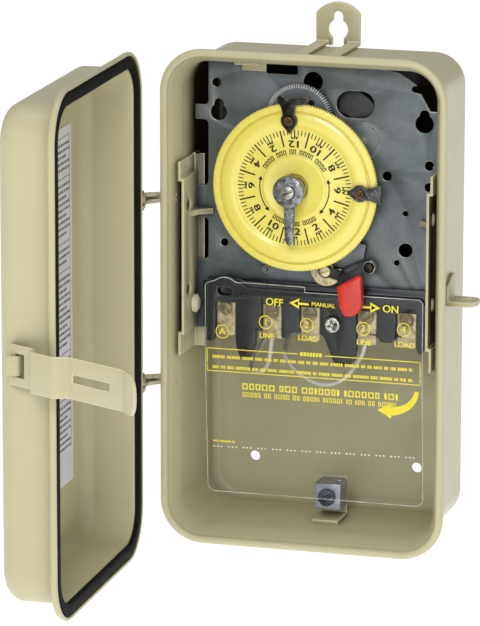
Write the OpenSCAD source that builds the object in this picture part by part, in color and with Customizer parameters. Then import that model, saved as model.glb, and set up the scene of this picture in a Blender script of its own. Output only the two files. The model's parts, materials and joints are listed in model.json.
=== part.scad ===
// Mechanical time switch in a wall-mounted sheet-steel enclosure with a hinged cover.
// Frame: +X right, +Z up, the front faces -Y; the origin is the centre of the back face.

/* [Enclosure] */
// Width over the rolled rim
rim_w = 140; // [136:1:146]
// Height over the rolled rim
rim_h = 241; // [238:1:248]
// Depth from the back face to the front of the rim
case_d = 66; // [65:0.5:68]
// Thickness of the sheet steel
sheet_t = 1.6; // [1.2:0.1:1.8]
// Width that the rolled rim stands out from the walls
rim_out = 6; // [5.6:0.1:6.4]
// Corner radius of the box walls, seen from the front
wall_r = 15; // [12:1:18]
// Radius where the back runs into the walls
back_r = 6; // [4:0.5:8]
// Radius of the two screw holes in the back
wall_hole_r = 2.6; // [2:0.1:3]
// Distance between the two screw holes in the back
wall_hole_pitch = 82; // [70:1:90]

/* [Cover] */
// How far the cover stands open at rest, in degrees
door_open = 88; // [0:1:165]
// Depth of the cover's dish in front of its flange
dish_d = 26; // [25:0.5:28]
// Width of the flange round the dish
flange_w = 7; // [7:0.25:7.5]
// Angle that the latch strap hangs out from the cover's side, in degrees
strap_out = 30; // [0:1:75]
// Height of the latch strap
strap_h = 19; // [14:1:22]

/* [Time switch] */
// Height of the mechanism plate's front face above the back face
plate_top = 38; // [37.5:0.1:38.2]
// Radius of the dial
dial_r = 40.6; // [38:0.2:40.8]
// Teeth of the gear under the dial
dial_teeth = 124; // [124:4:124]
// Teeth of the pinion that turns the dial gear
wheel_pinion_teeth = 20; // [20:4:20]
// Teeth of the large intermediate wheel
wheel_teeth = 80; // [80:16:80]
// Teeth of the motor pinion
motor_teeth = 12; // [12:2:12]
// How far the trip clips reach past the dial
clip_reach = 4.6; // [3:0.2:5]

/* [Hidden] */
$fn = 64;

case_w = rim_w - 2 * rim_out;
case_h = rim_h - 2 * rim_out;
rim_r = wall_r + rim_out;
bead_r = rim_out / 2;
inner_w = case_w - 2 * sheet_t;
inner_h = case_h - 2 * sheet_t;
touch = 0.01;

// the cover, measured in its closed place
flange_gap = 2;
flange_back = case_d + flange_gap;
flange_front = flange_back + sheet_t;
lip_gap = 0.9;
door_w = rim_w + 2 * (lip_gap + sheet_t);
door_h = rim_h + 2 * (lip_gap + sheet_t);
door_r = rim_r + lip_gap + sheet_t;
lip_depth = 3.6;
gasket_w = 5.9;
label_w = 78;
label_h = 172;
label_x = -9;
label_z = 3;
dish_w = door_w - 2 * flange_w;
dish_h = door_h - 2 * flange_w;
dish_r = door_r - flange_w + 2;
dish_edge_r = 9;
dish_front = flange_back + dish_d + sheet_t;
hinge_x = -rim_w / 2 - 8.5;
hinge_y = case_d + 3;
hinge_heights = [47, -42];
pin_r = 1.2;
running_gap = 0.05;

// the latch strap's outline, in its latched place: distance from the middle and from the back
strap_x = dish_w / 2 + 3.6;
strap_bar = dish_front - 9.1;
strap_t = 1.4;
strap_over = door_w / 2 + 1.7;
strap_in = rim_w / 2 - 1.2;
strap_end = 2.2;
strap_tip_r = 7.5;
strap_path = [
    [strap_x, strap_bar + 2.5], [strap_x, strap_bar - 14], [strap_over, strap_bar - 16.3],
    [strap_over, 55], [strap_in, 51], [strap_in, 16], [strap_in + 6.4, strap_end - 0.4]
];

// the dial and its gear train
dial_x = -8;
dial_z = 53.4;
dial_module = 0.45;
wheel_module = 0.4;
train_gap = (dial_teeth + wheel_pinion_teeth) * dial_module / 2;
wheel_z = dial_z + train_gap;
motor_turn = -22.5;
motor_gap = (wheel_teeth + motor_teeth) * wheel_module / 2;
motor_x = dial_x + motor_gap * cos(motor_turn);
motor_z = wheel_z + motor_gap * sin(motor_turn);
plate_t = 1.2;
rail_offset = 3;
rail_span = [-19.2, 56.7];
plug_z = -6.7;
plug_h = 44.8;
plate_back = plate_top - plate_t;
post_r = 2.5;
gear_hub_r = 5;
dial_back = 46.6;
clip_screw_r = 32.6;
on_clip_turn = 94;
off_clip_turn = -1;

// the manual lever and the switch behind the terminals
lever_x = 6;
lever_z = 12.8;
bar_z = 2;
bar_h = 29;
block_front = 45;
terminal_xs = [-43.5, -20.5, -1.5, 26.5, 46];
contact_xs = [-34, -14, 19, 38];
screw_spot = [10.4, -12.6];
crease_z = -36;
fold_gap = 0.4;
flap_tilt = 4;
flap_end = -100.5;
lead_r = 1.1;
wire_spot = [9.4, -100.5, 29];
wire_hole_r = 1.8;

line_route = [
    [-20.5, -22.2, 42.4], [-20.5, -30, 42.4], [-21, -38, 41.5], [-23, -44, 37], [-25, -45, 29],
    [-24, -41, 20], [-20, -31, 13], [-14, -14, 9], [-6, 6, 8], [0, 25, 8], [3, 42, 10],
    [4, 51, 14], [4, 56.6, 16]
];
load_route = [
    [26.5, -22.2, 42.4], [26.5, -30, 42.4], [24.5, -37, 41.5], [19, -43, 41], [11, -46, 39.5],
    [2, -45, 36.5], [-6, -40, 32], [-11, -34, 25], [-11, -28, 17.5], [-7, -15, 11], [2, 4, 8.5],
    [10, 24, 8], [13.5, 42, 10], [14, 51, 14], [14, 56.6, 16]
];

// ---- helpers: drawn as seen from the front, with z as the height above the back face ----

module front() rotate([90, 0, 0]) children();

module swung() {
    front() translate([hinge_x, 0, hinge_y]) rotate([0, -door_open, 0])
        translate([-hinge_x, 0, -hinge_y]) children();
}

module rounded(w, h, r) {
    square([w - 2 * r, h], center = true);
    square([w, h - 2 * r], center = true);
    for (x = [-1, 1], y = [-1, 1]) translate([x * (w / 2 - r), y * (h / 2 - r)]) circle(r);
}

module stadium(length, width) {
    square([length - width, width], center = true);
    for (side = [-1, 1]) translate([side * (length - width) / 2, 0]) circle(width / 2);
}

// a ring of round section that follows a rounded rectangle through its section's centres
module bead(w, h, r, section) {
    for (side = [-1, 1]) {
        translate([side * w / 2, -h / 2 + r, 0]) rotate([-90, 0, 0]) cylinder(h = h - 2 * r, r = section);
        translate([-w / 2 + r, side * h / 2, 0]) rotate([0, 90, 0]) cylinder(h = w - 2 * r, r = section);
        for (end = [-1, 1]) translate([side * (w / 2 - r), end * (h / 2 - r), 0])
            rotate([0, 0, side > 0 ? (end > 0 ? 0 : 270) : (end > 0 ? 90 : 180)])
                rotate_extrude(angle = 90) intersection() {
                    translate([r, 0]) circle(section, $fn = 32);
                    translate([0, -section]) square([r + section, 2 * section]);
                }
    }
}

// a solid pressed tray: its closed face lies at z = 0 with edges of radius edge
module tray(w, h, depth, r, edge) {
    translate([0, 0, edge]) linear_extrude(depth - edge) rounded(w, h, r);
    linear_extrude(depth) rounded(w - 2 * edge, h - 2 * edge, r - edge);
    translate([0, 0, edge]) bead(w - 2 * edge, h - 2 * edge, r - edge, edge);
}

module tray_shell(w, h, depth, r, edge, t) {
    difference() {
        tray(w, h, depth, r, edge);
        translate([0, 0, t]) tray(w - 2 * t, h - 2 * t, depth, r - t, edge - t);
    }
}

module gear_outline(teeth, pitch_module) {
    pitch = teeth * pitch_module / 2;
    step = 360 / teeth;
    polygon([for (k = [0:teeth - 1], p = [[-0.27, -1.15], [-0.11, 0.85], [0.11, 0.85], [0.27, -1.15]])
        (pitch + p[1] * pitch_module) * [cos((k + p[0]) * step), sin((k + p[0]) * step)]]);
}

function unit(v) = v / norm(v);
function left_of(v) = [-v[1], v[0]];

// the corner of a bent strip, moved sideways by s
function strip_corner(p, i, s) =
    let (before = unit(p[max(i, 1)] - p[max(i, 1) - 1]),
         after = unit(p[min(i + 1, len(p) - 1)] - p[min(i + 1, len(p) - 1) - 1]),
         normal = unit(left_of(before) + left_of(after)))
    p[i] + normal * s / (normal * left_of(after));

module strip(p, t) {
    polygon(concat([for (i = [0:len(p) - 1]) strip_corner(p, i, t / 2)],
                   [for (i = [len(p) - 1:-1:0]) strip_corner(p, i, -t / 2)]));
}

function curve_point(p, i, t) =
    let (a = p[max(i - 1, 0)], b = p[i], c = p[i + 1], d = p[min(i + 2, len(p) - 1)])
    0.5 * (2 * b + (c - a) * t + (2 * a - 5 * b + 4 * c - d) * t * t
        + (3 * b - a - 3 * c + d) * t * t * t);

function curve(p, steps) = concat(
    [for (i = [0:len(p) - 2], k = [0:steps - 1]) curve_point(p, i, k / steps)], [p[len(p) - 1]]);

module tube(route, r, sides) {
    line = curve(route, 3);
    last = len(line) - 1;
    rings = [for (i = [0:last])
        let (along = unit(line[min(i + 1, last)] - line[max(i - 1, 0)]),
             side = unit(cross(along, [1, 0.02, 0.01])), up = cross(side, along))
        [for (k = [0:sides - 1])
            line[i] + r * (side * cos(360 * k / sides) + up * sin(360 * k / sides))]];
    faces = concat(
        [[for (k = [0:sides - 1]) k]], [[for (k = [sides - 1:-1:0]) last * sides + k]],
        [for (i = [0:last - 1], k = [0:sides - 1])
            [i * sides + k, (i + 1) * sides + k, (i + 1) * sides + (k + 1) % sides,
             i * sides + (k + 1) % sides]]);
    polyhedron([for (ring = rings, p = ring) p], faces);
}

module plate_at(x, z, low, high) translate([x, z, low]) linear_extrude(high - low) children();

module peg(x, z, low, high, r) translate([x, z, low]) cylinder(h = high - low, r = r);

// ---- the enclosure ----

module enclosure_box() color([0.78, 0.75, 0.59]) front() difference() {
    union() {
        tray_shell(case_w, case_h, case_d, wall_r, back_r, sheet_t);
        translate([0, 0, case_d - bead_r])
            bead(case_w + rim_out, case_h + rim_out, wall_r + bead_r, bead_r);
        plate_at(0, 0, case_d - bead_r, case_d) difference() {
            rounded(case_w + rim_out, case_h + rim_out, wall_r + bead_r);
            rounded(inner_w, inner_h, wall_r - sheet_t);
        }
    }
    for (side = [-1, 1]) peg(side * wall_hole_pitch / 2, -92, -1, 4, wall_hole_r);
    for (x = [-30, 30]) translate([x, -case_h / 2, 34]) rotate([90, 0, 0])
        translate([0, 0, -0.5]) difference() {
            cylinder(h = 1, r = 11.4);
            translate([0, 0, -1]) cylinder(h = 3, r = 11);
        }
}

module hanger_tab() color([0.78, 0.75, 0.59]) front() {
    tab_w = 22;
    leg_w = 6;
    tab_t = 2;
    plate_at(0, 0, 0, tab_t) difference() {
        union() {
            translate([-tab_w / 2, case_h / 2 + touch]) square([tab_w, 14]);
            intersection() {
                translate([0, 122]) circle(13.7);
                translate([-tab_w / 2, 120]) square([tab_w, 20]);
            }
        }
        translate([0, 122.3]) circle(4.8);
        translate([-2.3, 122]) square([4.6, 6.8]);
        translate([0, 128.8]) circle(2.3);
        translate([-2.7, 110]) square([5.4, 10]);
    }
    for (side = [-1, 1]) translate([side * (tab_w - leg_w) / 2 - leg_w / 2, case_h / 2 + touch, tab_t - 0.2])
        cube([leg_w, tab_t, case_d - 2 * bead_r - 1 - tab_t]);
}

module padlock_staple() color([0.78, 0.75, 0.59]) front() {
    wall_x = case_w / 2 + touch;
    low = 27;
    high = 41;
    reach = 15;
    tongue_t = 2.5;
    translate([wall_x, 0, 0]) rotate([0, 90, 0]) linear_extrude(1.6)
        polygon([[-high, -tongue_t / 2], [-high, 8], [-low - 4, 12.5], [-low, 12.5], [-low, -tongue_t / 2]]);
    translate([wall_x, tongue_t / 2, 0]) rotate([90, 0, 0]) linear_extrude(tongue_t) difference() {
        union() {
            translate([0, low]) square([reach - 5, high - low]);
            translate([0, low + 5]) square([reach, high - low - 10]);
            for (h = [low + 5, high - 5]) translate([reach - 5, h]) circle(5);
        }
        translate([10, (low + high) / 2]) rotate(90) stadium(8, 5);
    }
}

module hinge_eyes() color([0.72, 0.7, 0.6]) front() for (z = hinge_heights)
    translate([0, z + 1.5, 0]) rotate([90, 0, 0]) linear_extrude(3) difference() {
        union() {
            translate([hinge_x, hinge_y]) circle(2.6);
            translate([hinge_x - 1, 57.6]) square([2, hinge_y - 57.6]);
            translate([hinge_x - 1, 57.6]) square([-case_w / 2 - touch - hinge_x + 1, 1.8]);
        }
        translate([hinge_x, hinge_y]) circle(pin_r + running_gap);
    }

module side_bracket() {
    wall = inner_w / 2 - touch;
    rail = wall - rail_offset;
    thick = 1.2;
    front_edge = 60.5;
    rail_low = plate_top + 0.3;
    difference() {
        translate([-rail - thick, rail_span[0], rail_low])
            cube([thick, rail_span[1] - rail_span[0], front_edge - rail_low]);
        for (z = [42.7, 1.6]) translate([-wall - 1, z, 52]) rotate([0, 90, 0]) cylinder(h = 9, r = 2.9);
        translate([-wall, plug_z, plug_h]) rotate([0, 90, 0]) cylinder(h = 9, r = 1.5);
    }
    // the feet on the wall, and the steps from them to the rail
    translate([-wall, rail_span[1] - touch, 28]) cube([thick, 8.3, front_edge - 28]);
    translate([-wall, -29.5, 28]) cube([thick, rail_span[0] + 29.5 + touch, front_edge - 28]);
    for (z = [rail_span[0] - touch, rail_span[1] - thick + touch])
        translate([-wall, z, rail_low]) cube([rail_offset, thick, front_edge - rail_low]);
    // the ledge behind the plate, and a claw bent in front of it
    translate([-wall, -29.5, plate_back - 1.6]) cube([6, 94.5, 1.6 - touch]);
    translate([-rail - touch, 39.3, 0]) rotate([90, 0, 0]) linear_extrude(2.6)
        polygon([[0, 52], [0, rail_low], [2.5, rail_low], [8.4, rail_low + 1.2], [8.4, rail_low + 2.2], [3, 45]]);
}

module left_bracket() color([0.74, 0.71, 0.56]) front() side_bracket();

module right_bracket() color([0.74, 0.71, 0.56]) front() mirror([1, 0, 0]) side_bracket();

module nylon_plug() color([0.9, 0.88, 0.8]) front()
    translate([-inner_w / 2 + rail_offset, plug_z, plug_h]) rotate([0, 90, 0]) {
        translate([0, 0, 3 * touch]) cylinder(h = 1.6, r = 4.3);
        translate([0, 0, 1.6]) cylinder(h = 1.2, r1 = 4.3, r2 = 3);
        translate([0, 0, -1.1]) cylinder(h = 1.2, r = 1.45);
    }

module plate_clip() color([0.76, 0.73, 0.58]) front() {
    translate([-37, 106.8, plate_top + 0.1]) cube([12, inner_h / 2 - 106.8 - touch, 1.2]);
    translate([-37, inner_h / 2 - 1.2 - touch, plate_top + 0.1]) cube([12, 1.2, 14]);
}

module ground_bracket() color([0.76, 0.73, 0.58]) front() difference() {
    union() {
        translate([-1, -inner_h / 2 + touch, 22]) cube([13, 2, 19]);
        translate([-1, -inner_h / 2 + touch, 22]) cube([13, 20, 1.6]);
    }
    peg(5.4, -100.6, 20, 30, 1.8);
}

module ground_lug() color([0.75, 0.76, 0.78]) front() difference() {
    translate([-1, -107, 23.61]) cube([13, 13, 12.4]);
    peg(5.4, -100.6, 20, 40, 1.8);
    translate(wire_spot) rotate([90, 0, 0]) cylinder(h = 20, r = wire_hole_r, center = true);
}

module ground_screw() color([0.62, 0.65, 0.68]) front() difference() {
    union() {
        peg(5.4, -100.6, 21, 36.1, 1.8);
        peg(5.4, -100.6, 36.02, 38.4, 4.2);
    }
    translate([5.4, -100.6, 38.4]) rotate(35) cube([9, 1.2, 1.8], center = true);
}

// ---- the mechanism plate and what is fixed to it ----

module plate_outline() {
    half = inner_w / 2 - 1.8;
    left_notches = [[89.2, 113], [50, 81.8], [14, 34]];
    difference() {
        translate([-half, -20]) square([2 * half, 131]);
        for (notch = left_notches) translate([-half, (notch[0] + notch[1]) / 2])
            rounded(13, notch[1] - notch[0], 2);
        // the corner that is cut away at the upper right, with a finger into the plate
        polygon([[24, 111.5], [40, 109.3], [48, 104.3], [52, 97.4], [55.2, 91.5], [half + 1, 91.5],
            [half + 1, 111.5]]);
        translate([50, 101.4]) rotate(-8) stadium(8, 3);
    }
}

module plate_holes() {
    for (hole = [[-49.9, 100.2, 2.2], [-45.9, 22.5, 1.8], [-2.2, 102.8, 4.7], [34.4, 59.4, 2.2],
                 [43.5, 41.8, 1.3], [43.7, 24, 3.3], [39.4, 17.6, 1.3], [55, 65.4, 2.2],
                 [55, 55, 2.2]])
        translate([hole[0], hole[1]]) circle(hole[2]);
    for (spot = [[-48.8, 85.8, 4], [52.4, 85.4, 4.4]]) translate([spot[0], spot[1]]) {
        circle(spot[2]);
        translate([0, 4.2]) circle(2.3);
    }
    translate([18.7, 92.9]) stadium(18.5, 12.8);
    translate([-17.7, 108.6]) rounded(15.6, 5.6, 1);
    translate([motor_x, motor_z]) circle(2.6);
    translate([dial_x, dial_z]) circle(post_r);
    translate([dial_x, wheel_z]) circle(1.5);
    translate([lever_x, lever_z]) circle(1.5);
    translate([27.1, 15.6]) circle(1.5);
    translate(screw_spot) circle(2);
    for (turn = [-70, -160]) translate([motor_x, motor_z]) rotate(turn) translate([26, 0]) circle(1.5);
}

module mechanism_plate() color([0.38, 0.42, 0.44]) front() {
    plate_at(0, 0, plate_back, plate_top) difference() {
        plate_outline();
        plate_holes();
    }
    translate([22.2, 75.3, plate_top - touch]) {
        cylinder(h = 0.5, r = 8.4);
        cylinder(h = 1.4, r = 1.6);
    }
    translate([-25, 10.7, plate_top - touch]) difference() {
        cylinder(h = 0.9, r = 2.5);
        translate([0, 0, -1]) cylinder(h = 3, r = 1.2);
    }
}

module motor_body() color([0.2, 0.2, 0.22]) front() difference() {
    union() {
        peg(motor_x, motor_z, 8, 32, 22);
        peg(motor_x, motor_z, 31, plate_back - touch, 9);
        for (turn = [-70, -160]) translate([motor_x, motor_z, 30]) rotate(turn) {
            translate([14, -5, 0]) cube([12, 10, 2]);
            translate([26, 0, 0]) cylinder(h = plate_back - 30 - touch, r = 5);
        }
    }
    peg(motor_x, motor_z, 26, 40, 1.5 + running_gap);
    for (turn = [-70, -160]) translate([motor_x, motor_z, 0]) rotate(turn)
        peg(26, 0, 28, 40, 1.5);
}

module motor_screws() color([0.7, 0.68, 0.6]) front() for (turn = [-70, -160])
    translate([motor_x, motor_z, 0]) rotate(turn) {
        peg(26, 0, 30, plate_top + 0.1, 1.5);
        peg(26, 0, plate_top + touch, plate_top + 1.6, 2.6);
    }

module motor_pinion() color([0.78, 0.66, 0.36]) front() translate([motor_x, motor_z, 0]) {
    translate([0, 0, 26.2]) cylinder(h = 15, r = 1.5);
    translate([0, 0, 39.9]) rotate(motor_turn + 180 + 180 / motor_teeth)
        linear_extrude(1.6) gear_outline(motor_teeth, wheel_module);
}

module wheel_post() color([0.66, 0.66, 0.68]) front() {
    peg(dial_x, wheel_z, plate_back, 45, 1.5);
    peg(dial_x, wheel_z, plate_top + touch, 39.8, 2.6);
}

module gear_wheel() color([0.55, 0.58, 0.6]) front() translate([dial_x, wheel_z, 40]) difference() {
    union() {
        linear_extrude(1.4) gear_outline(wheel_teeth, wheel_module);
        cylinder(h = 1.9, r = 3.4);
    }
    translate([0, 0, -1]) cylinder(h = 4, r = 1.5 + running_gap);
}

module wheel_pinion() color([0.78, 0.66, 0.36]) front() translate([dial_x, wheel_z, 41.91])
    difference() {
        linear_extrude(2.7) gear_outline(wheel_pinion_teeth, dial_module);
        translate([0, 0, -1]) cylinder(h = 5, r = 1.5 + running_gap);
    }

module dial_post() color([0.6, 0.6, 0.6]) front() {
    peg(dial_x, dial_z, plate_back, 56.5, post_r);
    peg(dial_x, dial_z, plate_top + touch, 40.8, 6);
}

module dial_gear() color([0.24, 0.22, 0.18]) front() translate([dial_x, dial_z, 0]) difference() {
    union() {
        translate([0, 0, 42.2]) rotate(180 / dial_teeth)
            linear_extrude(2.2) gear_outline(dial_teeth, dial_module);
        translate([0, 0, 41]) cylinder(h = 9, r = gear_hub_r);
    }
    translate([0, 0, 38]) cylinder(h = 16, r = post_r + running_gap);
}

module dial_face() color([0.97, 0.92, 0.45]) front() translate([dial_x, dial_z, 0])
    rotate_extrude($fn = 96) polygon([
        [gear_hub_r + running_gap, dial_back], [dial_r, dial_back], [dial_r, 49.2],
        [dial_r - 3.4, 49.2], [dial_r - 3.9, 48.8], [dial_r - 4.4, 49.4], [33, 50.3],
        [29.6, 50], [28.6, 49.2], [16, 49.2], [15.2, 50.2], [14, 50.2], [10, 49.6], [6.6, 49.6],
        [6.6, 48], [gear_hub_r + running_gap, 48]
    ]);

// a trip clip lies over the dial's face, goes round its edge and grips it from behind
module clip_face(ears) difference() {
    union() {
        translate([clip_screw_r, 0]) circle(4);
        polygon([[clip_screw_r - 6.4, 0], [clip_screw_r - 2.4, -3.2], [clip_screw_r - 2.4, 3.2]]);
        translate([clip_screw_r, -3]) square([dial_r + 1.5 - clip_screw_r, 6]);
        if (ears) {
            tip = dial_r + clip_reach;
            polygon([[dial_r - 4, -3], [dial_r - 1, -3.6], [dial_r + 1.5, -3.2], [dial_r + 2.2, 0],
                [tip - 0.4, 2.6], [tip - 0.6, 4.8], [dial_r + 1.4, 5], [dial_r - 1, 3.6], [dial_r - 4, 3]]);
            polygon([[dial_r - 1, -3], [dial_r - 0.6, -7], [tip - 3.6, -10.4], [tip - 1.4, -9.8],
                [tip - 1.2, -7.6], [tip - 2, -2.6], [dial_r + 1.5, 0]]);
        }
        if (!ears) polygon([[dial_r - 3, -3], [dial_r + 2.6, -4.8], [dial_r + 2.6, 4.8],
            [dial_r - 3, 3]]);
    }
    translate([clip_screw_r, 0]) circle(1.2);
}

module trip_clip(turn, ears) front() translate([dial_x, dial_z, 0]) rotate(turn) {
    face_low = 50.5;
    translate([0, 0, face_low]) linear_extrude(1.2) clip_face(ears);
    translate([dial_r + 0.3, -3, 45.3]) cube([1.2, 6, face_low + 0.6 - 45.3]);
    translate([dial_r - 4, -3, 45.3]) cube([5, 6, 1.1]);
}

module clip_screw(turn) front() translate([dial_x, dial_z, 0]) rotate(turn) difference() {
    union() {
        peg(clip_screw_r, 0, 50.5, 51.9, 1.2);
        peg(clip_screw_r, 0, 51.71, 53, 2.2);
    }
    translate([clip_screw_r, 0, 52.1]) cylinder(h = 2, r = 1);
}

module on_clip() color([0.13, 0.12, 0.1]) trip_clip(on_clip_turn, true);

module on_clip_screw() color([0.3, 0.26, 0.18]) clip_screw(on_clip_turn);

module off_clip() color([0.62, 0.63, 0.64]) trip_clip(off_clip_turn, false);

module off_clip_screw() color([0.5, 0.42, 0.3]) clip_screw(off_clip_turn);

module time_pointer() color([0.6, 0.6, 0.6]) front() translate([dial_x, dial_z, 0]) difference() {
    union() {
        translate([0, 0, 56.51]) cylinder(h = 4, r = 7.6);
        translate([0, 0, 57]) linear_extrude(1.6)
            polygon([[-2.8, 0], [2.8, 0], [2.1, -24], [0, -26.6], [-2.1, -24]]);
    }
    translate([0, 0, 50]) cylinder(h = 12, r = 1.4);
}

module pointer_screw() color([0.72, 0.72, 0.72]) front() translate([dial_x, dial_z, 0]) difference() {
    union() {
        translate([0, 0, 56.52]) cylinder(h = 4.2, r = 1.4);
        translate([0, 0, 60.52]) cylinder(h = 1.6, r = 3.2);
    }
    translate([0, 0, 62.1]) rotate(25) cube([7, 0.9, 1.4], center = true);
}

// ---- the manual lever ----

module lever_bracket() color([0.42, 0.43, 0.43]) front() {
    plate_at(0, 0, plate_top + 2.2, plate_top + 3.2) difference() {
        polygon([[-4, 17], [13.3, 14.2], [24, 19.2], [25, 26], [10, 30], [-4, 26]]);
        translate([lever_x, lever_z]) circle(3.4);
    }
    plate_at(0, 0, plate_top + touch, plate_top + 2.3) translate([12, 22]) square([10, 5]);
}

module lever_pivot() color([0.72, 0.62, 0.38]) front() difference() {
    union() {
        peg(lever_x, lever_z, plate_back, 44.6, 1.5);
        peg(lever_x, lever_z, plate_top + touch, 41.3, 2.8);
        peg(lever_x, lever_z, 44.5, 45.2, 2.6);
    }
    translate([lever_x, lever_z, 45.2]) rotate(20) cube([6, 0.7, 0.8], center = true);
}

module lever_cam() color([0.5, 0.46, 0.36]) front() translate([lever_x, lever_z, 41.4])
    linear_extrude(1.3) difference() {
        union() {
            circle(4);
            intersection() {
                circle(7.6);
                translate([-8, -8]) square([16, 9]);
            }
        }
        circle(1.5 + running_gap);
    }

module lever_arm() color([0.1, 0.1, 0.11]) front() translate([lever_x, lever_z, 0]) {
    translate([0, 0, 42.75]) linear_extrude(1.5) difference() {
        union() {
            circle(3.4);
            rotate(-15) translate([0, -2.5]) square([9.4, 5]);
        }
        circle(1.5 + running_gap);
    }
    rotate(-15) translate([8, -2.5, 42.75]) cube([1.4, 5, 6]);
    translate([0, 0, 47.95]) linear_extrude(1.2)
        polygon([[8.2, -1], [18.2, 4.6], [20.2, 0.6], [20, -12], [12.5, -14], [9.4, -10], [7.6, -5.4]]);
}

module lever_handle() color([0.88, 0.25, 0.16]) front() translate([lever_x, lever_z, 49.16])
    linear_extrude(4.6) polygon([
        [8, -5.4], [18.7, 1], [20.2, -0.2], [20.8, -12.7], [19.8, -16.2], [16, -19.4],
        [11.9, -19.4], [9.6, -15.6]
    ]);

module toggle_spring() color([0.7, 0.7, 0.7]) front() for (k = [0:5])
    translate([27.1, 15.6, plate_top + 0.56 + 0.85 * k]) rotate_extrude() translate([2.7, 0])
        circle(0.5, $fn = 24);

module spring_post() color([0.3, 0.3, 0.3]) front() {
    peg(27.1, 15.6, plate_back, 44, 1.5);
    peg(27.1, 15.6, 43.4, 44.4, 2.1);
}

// ---- the switch, the terminals and their insulator ----

module switch_housing() color([0.14, 0.14, 0.15]) front() difference() {
    translate([-50, -19, 18]) cube([100, 30, plate_back - 18 - touch]);
    translate([-46, -16, 20]) cube([92, 24, 20]);
    translate([-60, bar_z, bar_h]) rotate([0, 90, 0]) cylinder(h = 120, r = 2 + running_gap);
}

module contact_bar() color([0.35, 0.2, 0.12]) front() {
    translate([-49, bar_z, bar_h]) rotate([0, 90, 0]) cylinder(h = 98, r = 2);
    translate([-44, bar_z - 2.5, bar_h - 3]) cube([88, 5, 5]);
}

module contact_blades() color([0.72, 0.45, 0.28]) front() for (x = contact_xs) {
    translate([x - 2.5, -12.5, bar_h + 2.01]) cube([5, 17, 0.7]);
    peg(x, -10, bar_h + 2.6, bar_h + 3.9, 1.8);
}

module fixed_contacts() color([0.75, 0.6, 0.35]) front() for (x = contact_xs)
    peg(x, -10, bar_h + 3.95, plate_back - touch, 2.4);

module block_outline() polygon([
    [-56.5, -20], [-54.5, -25], [-49.5, -25], [-48, -20], [-48, -17], [-39, -17], [-38, -27],
    [-36, -32], [-31, -32], [-28.5, -26], [-28.5, -17], [-17, -17], [-16, -21], [-12, -21],
    [-10.5, -17], [3.5, -17], [6, -20], [10.5, -31], [12.5, -33], [18, -33], [20.5, -30], [21.5, -25],
    [21.5, -17], [32, -17], [33.5, -20], [39, -20], [40.5, -17], [50.5, -17], [51.5, -23],
    [53, -25], [55.5, -22], [55.5, -1], [52.5, 2.2], [-32, 2.2], [-37.2, 5.2], [-56.5, 5.2]
]);

module terminal_block() color([0.13, 0.15, 0.17]) front() difference() {
    union() {
        plate_at(0, 0, plate_top + touch, 41) difference() {
            union() {
                translate([-56.5, -19]) square([113, 22.4]);
                translate([-54.5, 3]) square([109, 2.4]);
            }
            translate([lever_x, lever_z]) circle(8.2);
        }
        plate_at(0, 0, 40.5, block_front) block_outline();
        plate_at(-43.5, 0, 40.5, block_front) circle(7.2);
        translate([55, -18, plate_top + 0.5]) cube([3.6, 3.4, 3]);
    }
    for (k = [0:4]) plate_at(terminal_xs[k], 0, 42, 50) translate([-5.2, -40])
        square([10.4, k == 0 ? 34.8 : 38]);
    plate_at(-43.5, 0, 39.5, 50) stadium(8, 4.4);
    plate_at(screw_spot[0], screw_spot[1], 30, 50) circle(2);
    for (x = terminal_xs) peg(x, -8.5, 38.6, 50, 1.8);
}

module terminal_plates() color([0.72, 0.64, 0.44]) front() for (x = terminal_xs) difference() {
    union() {
        translate([x - 4.6, -22, 42.01]) cube([9.2, 16.4, 0.8]);
        translate([x - 4.6, -22, 39.4]) cube([9.2, 0.8, 3]);
    }
    translate([x - 6, -22.4, 38]) cube([12, 3.4, 3.2]);
    peg(x, -8.5, 40, 50, 1.8);
}

module terminal_screws() color([0.7, 0.62, 0.42]) front() for (x = terminal_xs) difference() {
    union() {
        peg(x, -8.5, 38.6, 43, 1.8);
        peg(x, -8.5, 42.82, 44.9, x < -40 ? 3 : 3.3);
    }
    translate([x, -8.5, 44.9]) rotate(12 + x) cube([8, 0.9, 1.4], center = true);
}

module block_screw() color([0.78, 0.75, 0.62]) front() difference() {
    union() {
        peg(screw_spot[0], screw_spot[1], plate_back - 2, 46, 2);
        peg(screw_spot[0], screw_spot[1], 45.82, 47.7, 3.8);
    }
    for (turn = [0, 90]) translate([screw_spot[0], screw_spot[1], 47.7]) rotate(turn + 20)
        cube([4.6, 0.9, 1.6], center = true);
}

module insulator_top() color([0.85, 0.85, 0.75, 0.35]) front()
    plate_at(0, 0, block_front + 0.2, block_front + 0.8) difference() {
        union() {
            translate([-56.5, crease_z + fold_gap]) square([111.1, 2.2 - crease_z - fold_gap]);
            translate([-43.5, 0]) circle(7.2);
            translate([-56.5, 0]) square([14, 5.2]);
        }
        translate([-58, crease_z - 1]) square([4.7, 12]);
        translate(screw_spot) circle(2);
        translate([-43.5, 0]) stadium(8, 4.4);
    }

module insulator_flap() color([0.85, 0.85, 0.75, 0.35]) front()
    translate([0, crease_z, block_front + 0.5]) rotate([flap_tilt, 0, 0])
        translate([0, 0, -0.3]) linear_extrude(0.6) union() {
            flap_len = crease_z - flap_end;
            translate([-53.3, -flap_len + 4]) square([107.9, flap_len - 4.15]);
            translate([-49.3, -flap_len]) square([99.9, 8]);
            for (x = [-49.3, 50.6]) translate([x, -flap_len + 4]) circle(4);
        }

module motor_lead_line() color([0.9, 0.9, 0.85]) front() tube(line_route, lead_r, 8);

module motor_lead_load() color([0.9, 0.9, 0.85]) front() tube(load_route, lead_r, 8);

// ---- the cover, drawn closed and then swung open ----

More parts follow.
